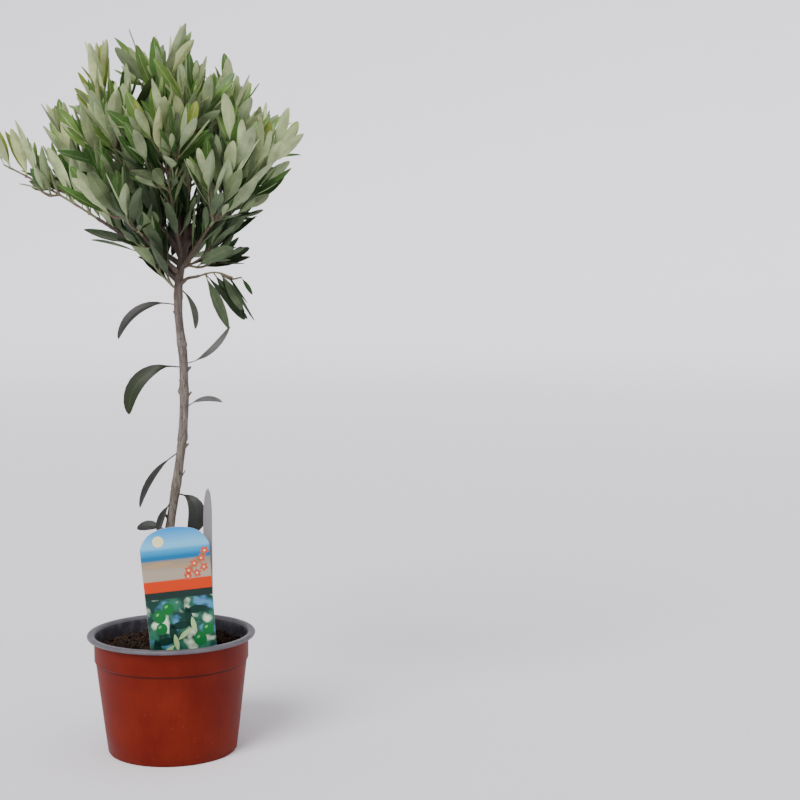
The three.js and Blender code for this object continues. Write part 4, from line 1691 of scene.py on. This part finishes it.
@dataclass(frozen=True)
class Motif:
    """A printed oval or leaf on the card.

    Attributes:
        x: Its middle, across the card, in millimetres.
        z: Its middle, up the card.
        wide: Half its length.
        high: Half its height.
        turn: Its turn.
        point: How pointed its ends are, from 0 for an oval to about 1 for a leaf.
    """

    x: float
    z: float
    wide: float
    high: float
    turn: float = 0.0
    point: float = 0.0

    def shape(self, surface: float, proud: float) -> Shape:
        """Makes the motif as a thin plate.

        Args:
            surface: How far the card's front lies from its middle.
            proud: How far the motif's front stands out of the card's.

        Returns:
            The shape in the card's own frame.
        """
        count = 24
        turn = math.radians(self.turn)
        points = []
        for depth in (proud, -0.1):
            for i in range(count):
                step = 2 * math.pi * i / count
                a = self.wide * math.cos(step)
                b = self.high * math.sin(step) * abs(math.sin(step)) ** self.point
                across = self.x + a * math.cos(turn) - b * math.sin(turn)
                up = self.z + a * math.sin(turn) + b * math.cos(turn)
                points.append((across, -surface - depth, up))
        front = tuple(range(count))
        back = tuple(reversed(range(count, 2 * count)))
        rim = [(i, i + count, (i + 1) % count + count, (i + 1) % count) for i in range(count)]
        return shape_from(points, [front, back, *rim])


@dataclass
class PlantLabel(Plate):
    """The printed card: a tall body with an arched top, standing on a pointed tongue."""

    width: float = 52.0
    foot: float = 49.0
    top: float = 100.0
    arch: float = 6.5
    corner: float = 8.0
    buried: float = 3.5
    thickness: float = 0.9
    tongue: float = 20.0
    depth: float = 34.0
    point_share: float = 0.38

    def place(self, across: float, up: float) -> tuple[float, float]:
        """Finds a place on the card.

        Args:
            across: From 0 at its left edge to 1 at its right one.
            up: From 0 at its foot to 1 at its top.

        Returns:
            The place in millimetres, across and up.
        """
        half = mix(self.foot, self.width, up) / 2
        share = 2 * across - 1
        top = self.top - self.arch * share**2 - self.corner * share**6
        return share * half, mix(-self.buried, top, up)

    def build(self) -> None:
        """Makes the card with its tongue, prints it and adds the printed motifs."""
        card = self.outline(24, 30, self.place)
        bpy.ops.object.mode_set(mode="EDIT")
        bpy.ops.mesh.select_all(action="DESELECT")
        bpy.ops.object.mode_set(mode="OBJECT")
        half = self.tongue / 2 * MM
        for edge in card.data.edges:
            ends = [card.data.vertices[i].co for i in edge.vertices]
            edge.select = all(end.z < (0.01 - self.buried) * MM and abs(end.x) < half for end in ends)
        bpy.ops.object.mode_set(mode="EDIT")
        bpy.context.tool_settings.mesh_select_mode = (False, True, False)
        point = self.depth * self.point_share
        for length in (self.depth - point - self.buried, point):
            bpy.ops.mesh.extrude_region_move(TRANSFORM_OT_translate={"value": (0, 0, -length * MM)})
        bpy.ops.transform.resize(value=(0.08, 1, 1), center_override=(0, 0, 0))
        bpy.ops.object.mode_set(mode="OBJECT")
        self.thicken(card, self.thickness, 0.2)
        card.data.materials.append(CARD.make())
        card.data.materials.append(CARD_BACK.make())
        for face in card.data.polygons:
            is_front = face.normal.y < -0.5 and face.center.z > -self.buried * MM
            face.material_index = 0 if is_front else 1
        card.data.transform(self.placing())
        smooth_by(settle(card, "plant_card"), 35)
        hand_over(card, "label", "plant_label")
        self.print_motifs()

    def print_motifs(self) -> None:
        """Adds flat printed motifs: a sun, dunes, blossoms, and a branch with leaves and round fruit."""
        blossoms = [(9, 66), (15, 63.5), (20.5, 67.5), (13.5, 71), (19, 74.5), (22, 80), (8, 61.5)]
        petals = []
        for number, (x, z) in enumerate(blossoms):
            for petal in range(5):
                turn = 72 * petal + 25 * number
                reach = Vector((math.cos(math.radians(turn)), math.sin(math.radians(turn)))) * 1.7
                petals.append(Motif(x + reach.x, z + reach.y, 1.7, 1.1, turn))
        small = [Motif(11 + 3 * i, 67 + 3.2 * i, 3.4, 1.0, 120 - 75 * (i % 2), 0.7) for i in range(4)]
        leaves = [Motif(-19 + 6.2 * i, 8 + 5.6 * i, 8.4, 3.0, 100 - 95 * (i % 2), 0.7) for i in range(6)]
        light = [Motif(-12 + 7.0 * i, 6 + 6.0 * i, 6.6, 1.9, 38 + 60 * (i % 2), 0.7) for i in range(4)]
        fruit = [(-16, 33, 4.8), (-9, 38.5, 4.4), (-15, 23.5, 4.2), (13, 13, 4.9), (19.5, 20, 4.3)]
        layers = {
            "sun": ("#efe3b0", [Motif(-12, 90, 4.2, 4.2)]),
            "dunes": ("#a58c6c", [Motif(-13, 72, 11, 2.0, 3), Motif(6, 70, 12, 1.4, -2)]),
            "blossom_leaves": ("#58793f", small),
            "blossoms": ("#c9543c", petals),
            "blossom_hearts": ("#f0c49c", [Motif(x, z, 0.9, 0.9) for x, z in blossoms]),
            "branch_leaves": ("#12332b", leaves),
            "branch_light": ("#a3bd86", light),
            "fruit": ("#1b6a34", [Motif(x, z, size, size * 1.08) for x, z, size in fruit]),
            "fruit_light": ("#63a86c", [Motif(x - 1.3, z + 1.6, 1.4, 0.9, 40) for x, z, _ in fruit]),
        }
        for layer, (name, (colour, motifs)) in enumerate(layers.items()):
            proud = 0.03 + 0.02 * layer
            # Ink lies flat on the card and shines as weakly as its varnish
            ink = Finish(f"printing ink, {name}", colour, 0.4, 1.5, 0.5, 0.01, 0.15)
            shape = joined([motif.shape(self.thickness / 2, proud) for motif in motifs])
            model = model_from(f"card_{name}", shape, [ink.make()])
            model.data.transform(self.placing())
            hand_over(model, "label")


@dataclass
class MarkerStick(Plate):
    """A plain plastic strip with a rounded, slanting point, bowed a little."""

    width: float = 11.0
    height: float = 127.0
    point: float = 26.0
    thickness: float = 0.9
    depth: float = 24.0
    bow: float = 0.25

    def place(self, across: float, up: float) -> tuple[float, float]:
        """Finds a place on the strip.

        Args:
            across: From 0 at its left edge to 1 at its right one.
            up: From 0 at its foot to 1 at its point.

        Returns:
            The place in millimetres, across and up.
        """
        z = mix(-self.depth, self.height, up)
        near_tip = max(z - self.height + self.point, 0) / self.point
        half = self.width / 2 * math.sqrt(max(1 - near_tip**2, 0.0004))
        lean = mix(0, self.width * 0.1, near_tip)
        return (2 * across - 1) * half + lean, z

    def build(self) -> None:
        """Makes the strip."""
        strip = self.outline(6, 60, self.place)
        self.thicken(strip, self.thickness, 0.2)
        for vertex in strip.data.vertices:
            vertex.co.y += self.bow * MM * math.sin(vertex.co.z / (self.height * MM) * math.pi)
        strip.data.materials.append(STICK_PLASTIC.make())
        strip.data.transform(self.placing())
        smooth_by(settle(strip, "marker_strip"), 35)
        hand_over(strip, "stick", "marker_stick")


# The tree


@dataclass
class Trunk:
    """The bare stem, with its flare, knots and bark: swell makes up for what subdividing draws in."""

    sides: int = 14
    step: float = 4.0
    swell: float = 1.045
    buried: float = 4.0

    def build(self) -> None:
        """Extrudes the stem from ring to ring, subdivides it and raises its bark."""
        count = round(TRUNK_HEIGHT / self.step)
        foot = TREE_FOOT - UP * self.buried
        rings = [Ring(*foot, trunk_radius(0) * self.swell)]
        for i in range(count + 1):
            height = TRUNK_HEIGHT * i / count
            centre = trunk_point(height) + TREE_FOOT
            rings.append(Ring(*centre, trunk_radius(height) * self.swell))
        top = trunk_point(TRUNK_HEIGHT) + TREE_FOOT
        rings.append(Ring(top.x, top.y, top.z + 1.6, TRUNK_TOP_RADIUS * 0.8))
        rings.append(Ring(top.x, top.y, top.z + 2.4, TRUNK_TOP_RADIUS * 0.35))
        trunk = settle(raise_rings(rings, self.sides), "trunk_bark")
        apply_modifier(trunk, "SUBSURF", levels=2, render_levels=2)
        self.raise_bark(trunk)
        trunk.data.materials.append(BARK.make())
        smooth_by(trunk, 60)
        hand_over(trunk, "bark", "trunk")
        self.add_spurs()

    def add_spurs(self) -> None:
        """Adds the stubs of cut shoots, with a swollen foot each."""
        shapes = []
        for number, spur in enumerate(SPURS):
            start = trunk_point(spur.height)
            length = spur.length + trunk_radius(spur.height)
            course = rounded(grow(start, heading(spur.azimuth, spur.rise), 0.4, length, 2.5), 0.7)
            radii = []
            for spot in course:
                beyond = (spot.point - start).length - trunk_radius(spur.height)
                radii.append(spur.radius * (0.75 + 0.6 * math.exp(-max(beyond, 0) / 1.2)))
            shapes.append(tube(course, radii, 9, 0.15, number))
        model = model_from("trunk_spurs", joined(shapes), [LIMB_BARK.make()], 60)
        hand_over(model, "bark")

    def raise_bark(self, trunk: Model) -> None:
        """Moves each vertex out or in by the bark's ridges, the knots and the lobes of the flare.

        Args:
            trunk: The trunk.
        """
        points = points_of(trunk)
        for point in points:
            height = point[2] - TREE_FOOT.z
            centre = trunk_point(min(max(height, 0), TRUNK_HEIGHT)) + TREE_FOOT
            x, y = point[0] - centre.x, point[1] - centre.y
            radius = math.hypot(x, y)
            if radius < 0.5:
                continue
            angle = math.atan2(y, x)
            out = self.relief(angle, height) / radius
            point[0] += x * out
            point[1] += y * out
        set_points(trunk, points)

    def relief(self, angle: float, height: float) -> float:
        """Adds up the bark's ridges, scales and lumps, the flare's lobes and the knots' buds and scars.

        Args:
            angle: The angle round the trunk, in radians.
            height: The height above its foot.

        Returns:
            How far the bark stands out there, in millimetres.
        """
        spot = Vector((math.cos(angle), math.sin(angle), 0))
        ridges = noise.noise(spot * 2.6 + UP * height * 0.035)
        scales = noise.noise(spot * 6.5 + UP * height * 0.16)
        lumps = noise.noise(spot * 0.9 + UP * height * 0.05 + Vector((7, 0, 0)))
        lobes = 0.7 * math.sin(3 * angle + 0.8) * math.exp(-max(height, 0) / 9)
        knot, from_knot = nearest_knot(height)
        facing = math.cos(angle - 2.4 * knot)
        bud = 1.1 * math.exp(-((from_knot / 2.4) ** 2)) * max(facing, 0) ** 6
        scar = -0.35 * math.exp(-(((from_knot + 3.2) / 0.8) ** 2))
        return 0.28 * ridges + 0.14 * scales + 0.3 * lumps + lobes + bud + scar


@dataclass
class Boughs:
    """The tapering limbs of the fork, each with a collar where it leaves the trunk.

    Attributes:
        collar: What the collar adds to a limb's radius, as a share.
        knot: What an old node adds to it.
        ridge: How far the bark stands out or in.
    """

    sides: int = 12
    step: float = 1.6
    collar: float = 0.45
    collar_length: float = 5.0
    knot: float = 0.22
    knot_first: float = 6.0
    ridge: float = 0.3

    def path(self, limb: Limb) -> list[Spot]:
        """Grows a limb's course.

        Args:
            limb: The limb.

        Returns:
            The course. A mass that springs from the trunk has only its place and direction.
        """
        point = trunk_point(limb.height)
        along = heading(limb.azimuth, limb.rise)
        if limb.bough == 0:
            return [Spot(point, along, along, along)]
        return grow(point, along, limb.bend, limb.bough, BOUGH_STEP)

    def build(self) -> None:
        """Makes all the boughs as one model."""
        shapes = []
        for number, limb in enumerate(LIMBS):
            if limb.bough == 0:
                continue
            course = self.path(limb)
            tip = course[-1]
            course = rounded(course, self.step)
            last = course[-1]
            course.append(Spot(tip.point + tip.along * 2, tip.along, last.side, last.across))
            radii = []
            for i in range(len(course)):
                share = i / (len(course) - 1)
                radius = mix(limb.radius, limb.radius * BOUGH_TIP, share)
                radius *= 1 + self.collar * math.exp(-i * self.step / self.collar_length)
                from_knot = (i * self.step) % NODE_SPACING - self.knot_first
                radii.append(radius + self.knot * math.exp(-(from_knot**2) / 3))
            shapes.append(tube(course, radii, self.sides, self.ridge, number))
        model = model_from("bough_bark", joined(shapes), [LIMB_BARK.make()], 60)
        hand_over(model, "bark", *[f"bough_{limb.name}" for limb in LIMBS if limb.bough > 0])


# The solids of all masses, which the twigs and the leaves take the place of together
MASS_NODES = [f"mass_{limb.name}" for limb in LIMBS]
# The least painted light in which a leaf has each tone. In less it has the tone of painted shade
TONE_LIGHT = {Tone.LIME: 1.42, Tone.FRESH: 1.16, Tone.SAGE: 0.92, Tone.MATURE: 0.7, Tone.DEEP: 0.46}


@dataclass(frozen=True)
class PaintedDaylight:
    """Painted light and shade, which decide a leaf's tone: more light is paler, and a place near a twig's
    tip adds the paleness of young growth.

    Attributes:
        low: The height at which height adds no light.
        depth: How much higher it adds its full weight.
        middle: Where the crown's middle is in X.
        radius: How far out the outside adds its full weight.
        screened: What is left of that low down, between the boughs.
        opening: The heights between which the screening ends.
        weights: Of height, of the outside and of a place near a twig's tip.
        luck: How far chance changes the light of a whole twig, and of a leaf.
        start: What the sum starts from.
    """

    low: float = 250.0
    depth: float = 220.0
    middle: float = 10.0
    radius: float = 100.0
    screened: float = 0.35
    opening: tuple[float, float] = (280.0, 420.0)
    weights: tuple[float, float, float] = (1.05, 0.45, 0.25)
    luck: tuple[float, float] = (0.15, 0.22)
    start: float = -0.03

    def tone_of(self, leaf: Leaf, twig: Twig, fraction: float) -> Tone:
        """Finds a leaf's tone: painted light high up and outside, pale young growth at the tips, painted
        shade low down and inside.

        Args:
            leaf: The leaf.
            twig: Its twig, whose leaves tend to share a tone.
            fraction: Where on the twig it grows.

        Returns:
            The tone.
        """
        tip = leaf.point(1)
        high = (tip.z - self.low) / self.depth
        outer = math.hypot(tip.x - self.middle, tip.y) / self.radius
        outer *= mix(self.screened, 1, smooth(tip.z, *self.opening))
        by_height, by_side, by_tip = self.weights
        light = by_height * high + by_side * outer + by_tip * fraction + self.start
        by_twig, by_leaf = self.luck
        light += by_twig * sway(twig.mass, twig.index, 41) + by_leaf * sway(leaf.key, 42)
        return next((tone for tone, least in TONE_LIGHT.items() if light > least), Tone.SHADE)


@dataclass
class Foliage:
    """The twigs and leaves of all masses.

    Attributes:
        masses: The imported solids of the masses.
        room: The space that the twigs and leaves so far take.
        ridge: How far a twig's skin stands out or in.
        swelling: What a node adds to its radius, as a share.
    """

    boughs: Boughs
    masses: list[PackedMass] = field(default_factory=lambda: [PackedMass(n) for n in MASS_NODES])
    twigs: list[Twig] = field(default_factory=list)
    leaves: list[Leaf] = field(default_factory=list)
    room: Room = field(default_factory=Room)
    painted_daylight: PaintedDaylight = PaintedDaylight()
    step: float = 1.5
    sides: int = 6
    ridge: float = 0.08
    swelling: float = 0.28

    def build(self) -> None:
        """Grows every mass by the rule of the solids, then its finer growth, and makes the models."""
        for number, limb in enumerate(LIMBS):
            self.grow_mass(limb, number)
        log.info("the rule's twigs: %d, leaves: %d", len(self.twigs), len(self.leaves))
        self.grow_on_boughs()
        self.grow_between()
        self.grow_shoots()
        self.grow_tips()
        log.info("all twigs: %d, leaves: %d", len(self.twigs), len(self.leaves))
        self.model_twigs()
        self.model_leaves()

    def keep_twig(self, twig: Twig, leaves: list[tuple[Leaf, float]]) -> None:
        """Adds a twig with its leaves and the room that it takes.

        Args:
            twig: The twig.
            leaves: Its leaves, each with where on the twig it grows.
        """
        self.twigs.append(twig)
        steps = max(2, round(twig.length / 4))
        self.room.take([spot_on(twig.path, i / steps).point for i in range(steps + 1)])
        for leaf, fraction in leaves:
            self.keep_leaf(leaf, twig, fraction)

    def keep_leaf(self, leaf: Leaf, twig: Twig, fraction: float) -> None:
        """Adds a leaf, with its tone and the room that it takes.

        Args:
            leaf: The leaf.
            twig: Its twig.
            fraction: Where on the twig it grows.
        """
        leaf.key = len(self.leaves)
        leaf.tone = self.painted_daylight.tone_of(leaf, twig, fraction)
        self.leaves.append(leaf)
        self.room.take(leaf.feelers())

    def grow_mass(self, limb: Limb, mass: int) -> None:
        """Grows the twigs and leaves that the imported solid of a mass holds.

        Args:
            limb: The mass's row.
            mass: Its number.
        """
        tip = self.boughs.path(limb)[-1]
        path = grow(tip.point + tip.along * CLEARANCE, tip.along, limb.lift, limb.stem, SHOOT_STEP)
        base = limb.radius * BOUGH_TIP * STEM_FIT
        stem = Twig(path, limb.stem, base, STEM_TIP_RADIUS, limb, mass, 0, path)
        twigs = [stem]
        for node, side in stem.axils():
            if node < stem.nodes() * SHOOT_ZONE and chance(mass, node, side, 1) <= SHOOT_SHARE:
                twigs.append(self.shoot_on(stem, node, side, len(twigs)))
        for twig in twigs:
            leaves = self.leaves_of(twig, self.packed_leaf)
            end = twig.path[-1]
            if twig is stem or leaves or self.masses[mass].has(end.point + end.across * twig.tip):
                self.keep_twig(twig, leaves)

    def leaves_of(self, twig: Twig, find: Callable) -> list[tuple[Leaf, float]]:
        """Lists the leaves that a method such as free_leaf finds on a twig, with where they grow."""
        found = [(find(twig, node, side), twig.fraction(node)) for node, side in twig.axils()]
        return [(leaf, fraction) for leaf, fraction in found if leaf]

    def shoot_on(self, stem: Twig, node: int, side: int, index: int) -> Twig:
        """Grows the side shoot at one side of a stem's node, as the solids have it.

        Args:
            stem: The stem.
            node: The node.
            side: 0 or 1.
            index: The shoot's number.

        Returns:
            The shoot.
        """
        fraction = (NODE_FIRST + node * NODE_SPACING) / stem.length
        spot = spot_on(stem.path, fraction)
        course = spot.leaning(stem.turn(node, side), SHOOT_SPREAD)
        luck = SHOOT_LEAST + SHOOT_VARIATION * chance(stem.mass, node, side, 2)
        length = stem.limb.shoot * (SHOOT_AT_BASE - SHOOT_LOSS * fraction) * luck
        path = grow(spot.point, course, SHOOT_PULL, length, SHOOT_STEP)
        radii = (SHOOT_BASE_RADIUS, SHOOT_TIP_RADIUS)
        return Twig(path, length, *radii, stem.limb, stem.mass, index, stem.path)

    def packed_leaf(self, twig: Twig, node: int, side: int) -> Leaf | None:
        """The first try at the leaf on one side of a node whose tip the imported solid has, or None."""
        tries = (leaf_on(twig, node, side, attempt) for attempt in range(LEAF_TRIES))
        return next((leaf for leaf in tries if self.masses[twig.mass].has(leaf.point(1))), None)

    def free_leaf(self, twig: Twig, node: float, side: int, size: float = 1.0) -> Leaf | None:
        """Finds a finer leaf that has room and stays in its mass's space and reach.

        Args:
            twig: The twig that it grows on.
            node: Its node, which may lie between two nodes.
            side: 0 or 1.
            size: Its length as a share of what the rule gives.

        Returns:
            The leaf, or None where there is no room.
        """
        for attempt in range(LEAF_TRIES):
            leaf = leaf_on(twig, node, side, attempt)
            leaf.length *= size
            leaf.width *= size
            tip = leaf.point(1)
            near = any((spot.point - tip).length < twig.limb.reach for spot in twig.stem)
            if near and self.masses[twig.mass].spans(tip) and self.room.is_free(leaf.feelers()):
                return leaf
        return None

    def try_leaf(self, twig: Twig, node: float, side: int, size: float) -> None:
        """Adds a finer leaf, as free_leaf finds it, if there is room for one."""
        if leaf := self.free_leaf(twig, node, side, size):
            self.keep_leaf(leaf, twig, twig.fraction(node))

    def grow_on_boughs(self) -> None:
        """Adds leaves and short shoots on the outer part of each bough."""
        limbs = [(number, limb) for number, limb in enumerate(LIMBS) if limb.bough > BARE_LENGTH]
        paths = {number: self.boughs.path(limb) for number, limb in limbs}
        for path in paths.values():
            self.room.take([spot_on(path, i / 20).point for i in range(21)])
        for number, limb in limbs:
            path, stem = paths[number], self.stem_of(number)
            self.masses[number].widen(spot_on(path, BARE_BOUGH).point)
            bough = Twig(path, limb.bough, limb.radius, limb.radius, limb, number, BOUGH_NUMBER, stem)
            for node, side in bough.axils():
                if bough.fraction(node) >= BARE_BOUGH:
                    self.try_shoot(bough, node, side)
                    self.try_leaf(bough, node, side, BOUGH_LEAF)
                    self.try_leaf(bough, node + 0.5, side, BETWEEN_BOUGH_LEAF)

    def stem_of(self, mass: int) -> list[Spot]:
        """The course of a mass's stem."""
        return next(twig.stem for twig in self.twigs if twig.mass == mass)

    def grow_between(self) -> None:
        """Adds leaves between two nodes, where the solids have none."""
        for twig in self.twigs:
            for node, side in twig.axils():
                if chance(twig.mass, twig.index, node, side, 24) < BETWEEN_SHARE:
                    self.try_leaf(twig, node + 0.5, side, BETWEEN_LEAF)

    def grow_shoots(self) -> None:
        """Adds short young shoots with small leaves in the axils."""
        for twig in list(self.twigs):
            for node, side in twig.axils():
                if chance(twig.mass, twig.index, node, side, 21) <= FINE_SHARE:
                    self.try_shoot(twig, node, side)

    def try_shoot(self, twig: Twig, node: int, side: int) -> None:
        """Adds one young shoot if it and at least a few of its leaves have room.

        Args:
            twig: The twig that it springs from.
            node: The node.
            side: 0 or 1.
        """
        keys = (twig.mass, twig.index, node, side)
        spot = spot_on(twig.path, twig.fraction(node))
        turn = twig.turn(node, side) + 90 + FINE_STRAY * sway(*keys, 22)
        course = spot.leaning(turn, FINE_SPREAD).normalized()
        length = FINE_LENGTH * (FINE_LEAST + FINE_VARIATION * chance(*keys, 23))
        path = grow(spot.point, course, FINE_PULL, length, FINE_STEP)
        radii = (FINE_RADIUS, FINE_RADIUS * FINE_TAPER)
        index = FIRST_FINE + len(self.twigs)
        shoot = Twig(path, length, *radii, twig.limb, twig.mass, index, twig.stem)
        shoot.spacing, shoot.leaf = FINE_SPACING, SHOOT_LEAF
        tips = [spot_on(path, share).point for share in (0.5, 0.8, 1.0)]
        if self.masses[twig.mass].spans(tips[-1]) and self.room.is_free(tips):
            leaves = self.leaves_of(shoot, self.free_leaf)
            if len(leaves) >= LEAST_LEAVES:
                self.keep_twig(shoot, leaves)

    def grow_tips(self) -> None:
        """Ends each twig in one or two pairs of half-grown leaves."""
        for twig in self.twigs:
            for side in (0, 1):
                self.try_leaf(twig, twig.nodes() - 0.3, side, TIP_LEAF)
                self.try_leaf(twig, twig.nodes() + 0.7, side, LAST_LEAF)

    def model_twigs(self) -> None:
        """Makes all twigs as one model, with a swelling at each node, and buds."""
        shapes = []
        for twig in self.twigs:
            course = rounded(twig.path, self.step)
            radii = []
            for i in range(len(course)):
                share = i / (len(course) - 1)
                radius = mix(twig.base, twig.tip, share)
                from_node = (share * twig.length - NODE_FIRST) / twig.spacing
                offset = (from_node - round(from_node)) * twig.spacing
                radii.append(radius * (1 + self.swelling * math.exp(-offset * offset / 1.6)))
            shapes.append(tube(course, radii, self.sides, self.ridge, twig.index))
            if twig.index < FIRST_FINE:
                shapes += self.buds(twig)
        model = model_from("twigs", joined(shapes), [TWIG_SKIN.make()], 60)
        hand_over(model, "foliage", *MASS_NODES)

    def buds(self, twig: Twig) -> list[Shape]:
        """Makes small pointed buds in the axils of a twig's leaves.

        Args:
            twig: The twig.

        Returns:
            The buds.
        """
        shapes = []
        for node, side in twig.axils():
            spot = spot_on(twig.path, twig.fraction(node))
            out = spot.outward(twig.turn(node, side))
            start = spot.point + out * (twig.tip * 0.6)
            middle = start + (spot.along + out * 0.8) * 0.9
            end = start + (spot.along + out * 0.5) * 1.8
            shapes.append(tube(to_path([start, middle, end]), [0.35, 0.5, 0.2], 4))
        return shapes

    def model_leaves(self) -> None:
        """Makes the leaves as one model for each tone."""
        patterns = [
            LeafPattern(0.56, 0.95, 0.62, 0.2).model(),
            LeafPattern(0.5, 1.0, 0.74, 0.28).model(),
            LeafPattern(0.62, 0.85, 0.55, 0.12).model(),
        ]
        for tone in Tone:
            leaves = [leaf for leaf in self.leaves if leaf.tone is tone]
            shapes = [leaf_shape(leaf, patterns[leaf.key % len(patterns)]) for leaf in leaves]
            materials = leaf_materials(tone.value, LEAF_COLOURS[tone])
            model = model_from(f"leaves_{tone.value}", joined(shapes), materials, 55)
            hand_over(model, "foliage", *MASS_NODES)


@dataclass
class StemLeaves:
    """The single leaves of the bare trunk, which curve under their own weight.

    Attributes:
        sunk: How far a leaf's foot is sunk in the bark.
        turned: Where along a leaf its roll is complete, from 0 to 1.
    """

    sunk: float = 0.4
    turned: float = 0.35
    thickness: float = 0.6

    def build(self) -> None:
        """Makes one model for each leaf, from its row."""
        pattern = LeafPattern(0.62, 0.95, 0.55, stalk=0.14, rings=CURVED_RINGS).model()
        materials = {}
        for tone, colours in STEM_LEAF_COLOURS.items():
            materials[tone] = leaf_materials(f"stem {tone.value}", colours)
        for leaf in STEM_LEAVES:
            shape = self.shape(leaf, pattern)
            model = model_from(f"stem_leaf_{leaf.name}", shape, materials[leaf.tone], 55)
            hand_over(model, "leaf", f"trunk_leaf_{leaf.name}")

    def shape(self, leaf: StemLeaf, pattern: LeafPattern) -> Shape:
        """Bends the pattern along the leaf's own curve.

        Args:
            leaf: The leaf's row.
            pattern: The pattern.

        Returns:
            Its shape in the frame of the pot.
        """
        first = heading(leaf.azimuth, leaf.rise)
        reach = trunk_radius(leaf.height) / math.cos(math.radians(leaf.rise))
        level = UP.cross(first).normalized()
        roll = math.radians(leaf.roll) * math.copysign(1, level.y)
        point = trunk_point(leaf.height) + first * (reach - self.sunk) + TREE_FOOT
        course = first.copy()
        spine, across, facing = [], [], []
        for before, place in zip([0.0, *pattern.rings], pattern.rings):
            share = place - before
            course = Matrix.Rotation(-leaf.bend * share, 3, level) @ course
            point = point + course * (leaf.length * share)
            sideways = Matrix.Rotation(roll * smooth(place, 0, self.turned), 3, course) @ level
            spine.append(point)
            across.append(sideways)
            facing.append(course.cross(sideways))
        frames = (np.array(rows) for rows in (spine, across, facing))
        return pattern.bent(*frames, leaf.width, self.thickness)


# The studio


@dataclass
class Studio:
    """A pale floor whose edge curves up all round, soft lights, and the photograph's view.

    Attributes:
        camera_place: Where the camera stands, in metres.
        pitch: How far it looks down.
        air: The colour of the light from all round.
        backdrop: Radius and height of each of the floor's rings, in metres.
    """

    camera_place: tuple[float, float, float] = (0.17806, -1.226, 0.38493)
    pitch: float = 5.178
    lens: float = 72.0
    sensor: float = 36.0
    air: str = "#e4e3e8"
    air_strength: float = 0.4
    floor_sides: int = 96
    backdrop: tuple[tuple[float, float], ...] = (
        (5.3, 2.0), (5.28, 1.4), (5.2, 0.95), (5.08, 0.6),
        (4.9, 0.33), (4.68, 0.15), (4.4, 0.04), (4.1, 0.0),
    )

    def build(self) -> None:
        """Makes the floor, the lights and the camera."""
        self.lay_floor()
        self.hang_light("key", Vector((-0.7, -1.3, 1.2)), strength=3.3, spread=32)
        self.hang_light("top", Vector((0.15, -0.2, 1)), strength=1.1, spread=70)
        world = bpy.data.worlds.new("studio air")
        world.use_nodes = True
        bpy.context.scene.world = world
        background = world.node_tree.nodes["Background"]
        background.inputs["Color"].default_value = linear(self.air)
        background.inputs["Strength"].default_value = self.air_strength
        self.place_camera()

    def lay_floor(self) -> None:
        """Extrudes a ring down and inwards to a round floor, whose edge rises in a curve."""
        rings = [Ring(0, 0, height / MM, radius / MM) for radius, height in self.backdrop]
        extrude_rings(rings, self.floor_sides, "NOTHING")
        bpy.ops.mesh.edge_face_add()
        floor = settle(turn_faces(inwards=True), "floor")
        floor.data.materials.append(FLOOR_PAPER.make())
        smooth_by(floor, 60)

    def hang_light(self, name: str, source: Vector, strength: float, spread: float) -> None:
        """Adds an even soft light.

        Args:
            name: The light's name.
            source: The direction that it comes from.
            strength: Its strength.
            spread: The angle that it covers, which softens its shadows.
        """
        light = bpy.data.lights.new(name, "SUN")
        light.energy = strength
        light.angle = math.radians(spread)
        lamp = bpy.data.objects.new(name, light)
        lamp.location = source
        lamp.rotation_euler = (-source).to_track_quat("-Z", "Y").to_euler()
        bpy.context.scene.collection.objects.link(lamp)

    def place_camera(self) -> None:
        """Sets the camera where the photograph was taken from."""
        camera = bpy.data.cameras.new("camera")
        camera.lens = self.lens
        camera.sensor_width = self.sensor
        holder = bpy.data.objects.new("camera", camera)
        holder.location = self.camera_place
        holder.rotation_euler = (math.radians(90 - self.pitch), 0, 0)
        bpy.context.scene.collection.objects.link(holder)
        bpy.context.scene.camera = holder


def main() -> None:
    """Builds each sub-assembly in order."""
    logging.basicConfig(level=logging.INFO, format="%(name)s: %(message)s")
    NurseryPot().build()
    Soil().build()
    PlantLabel(x=15.2, y=-38, yaw=10, tilt=-4.5).build()
    MarkerStick(x=32, y=-26, yaw=-50, tilt=0).build()
    Trunk().build()
    boughs = Boughs()
    boughs.build()
    Foliage(boughs).build()
    StemLeaves().build()
    Studio().build()


if __name__ == "__main__":
    main()
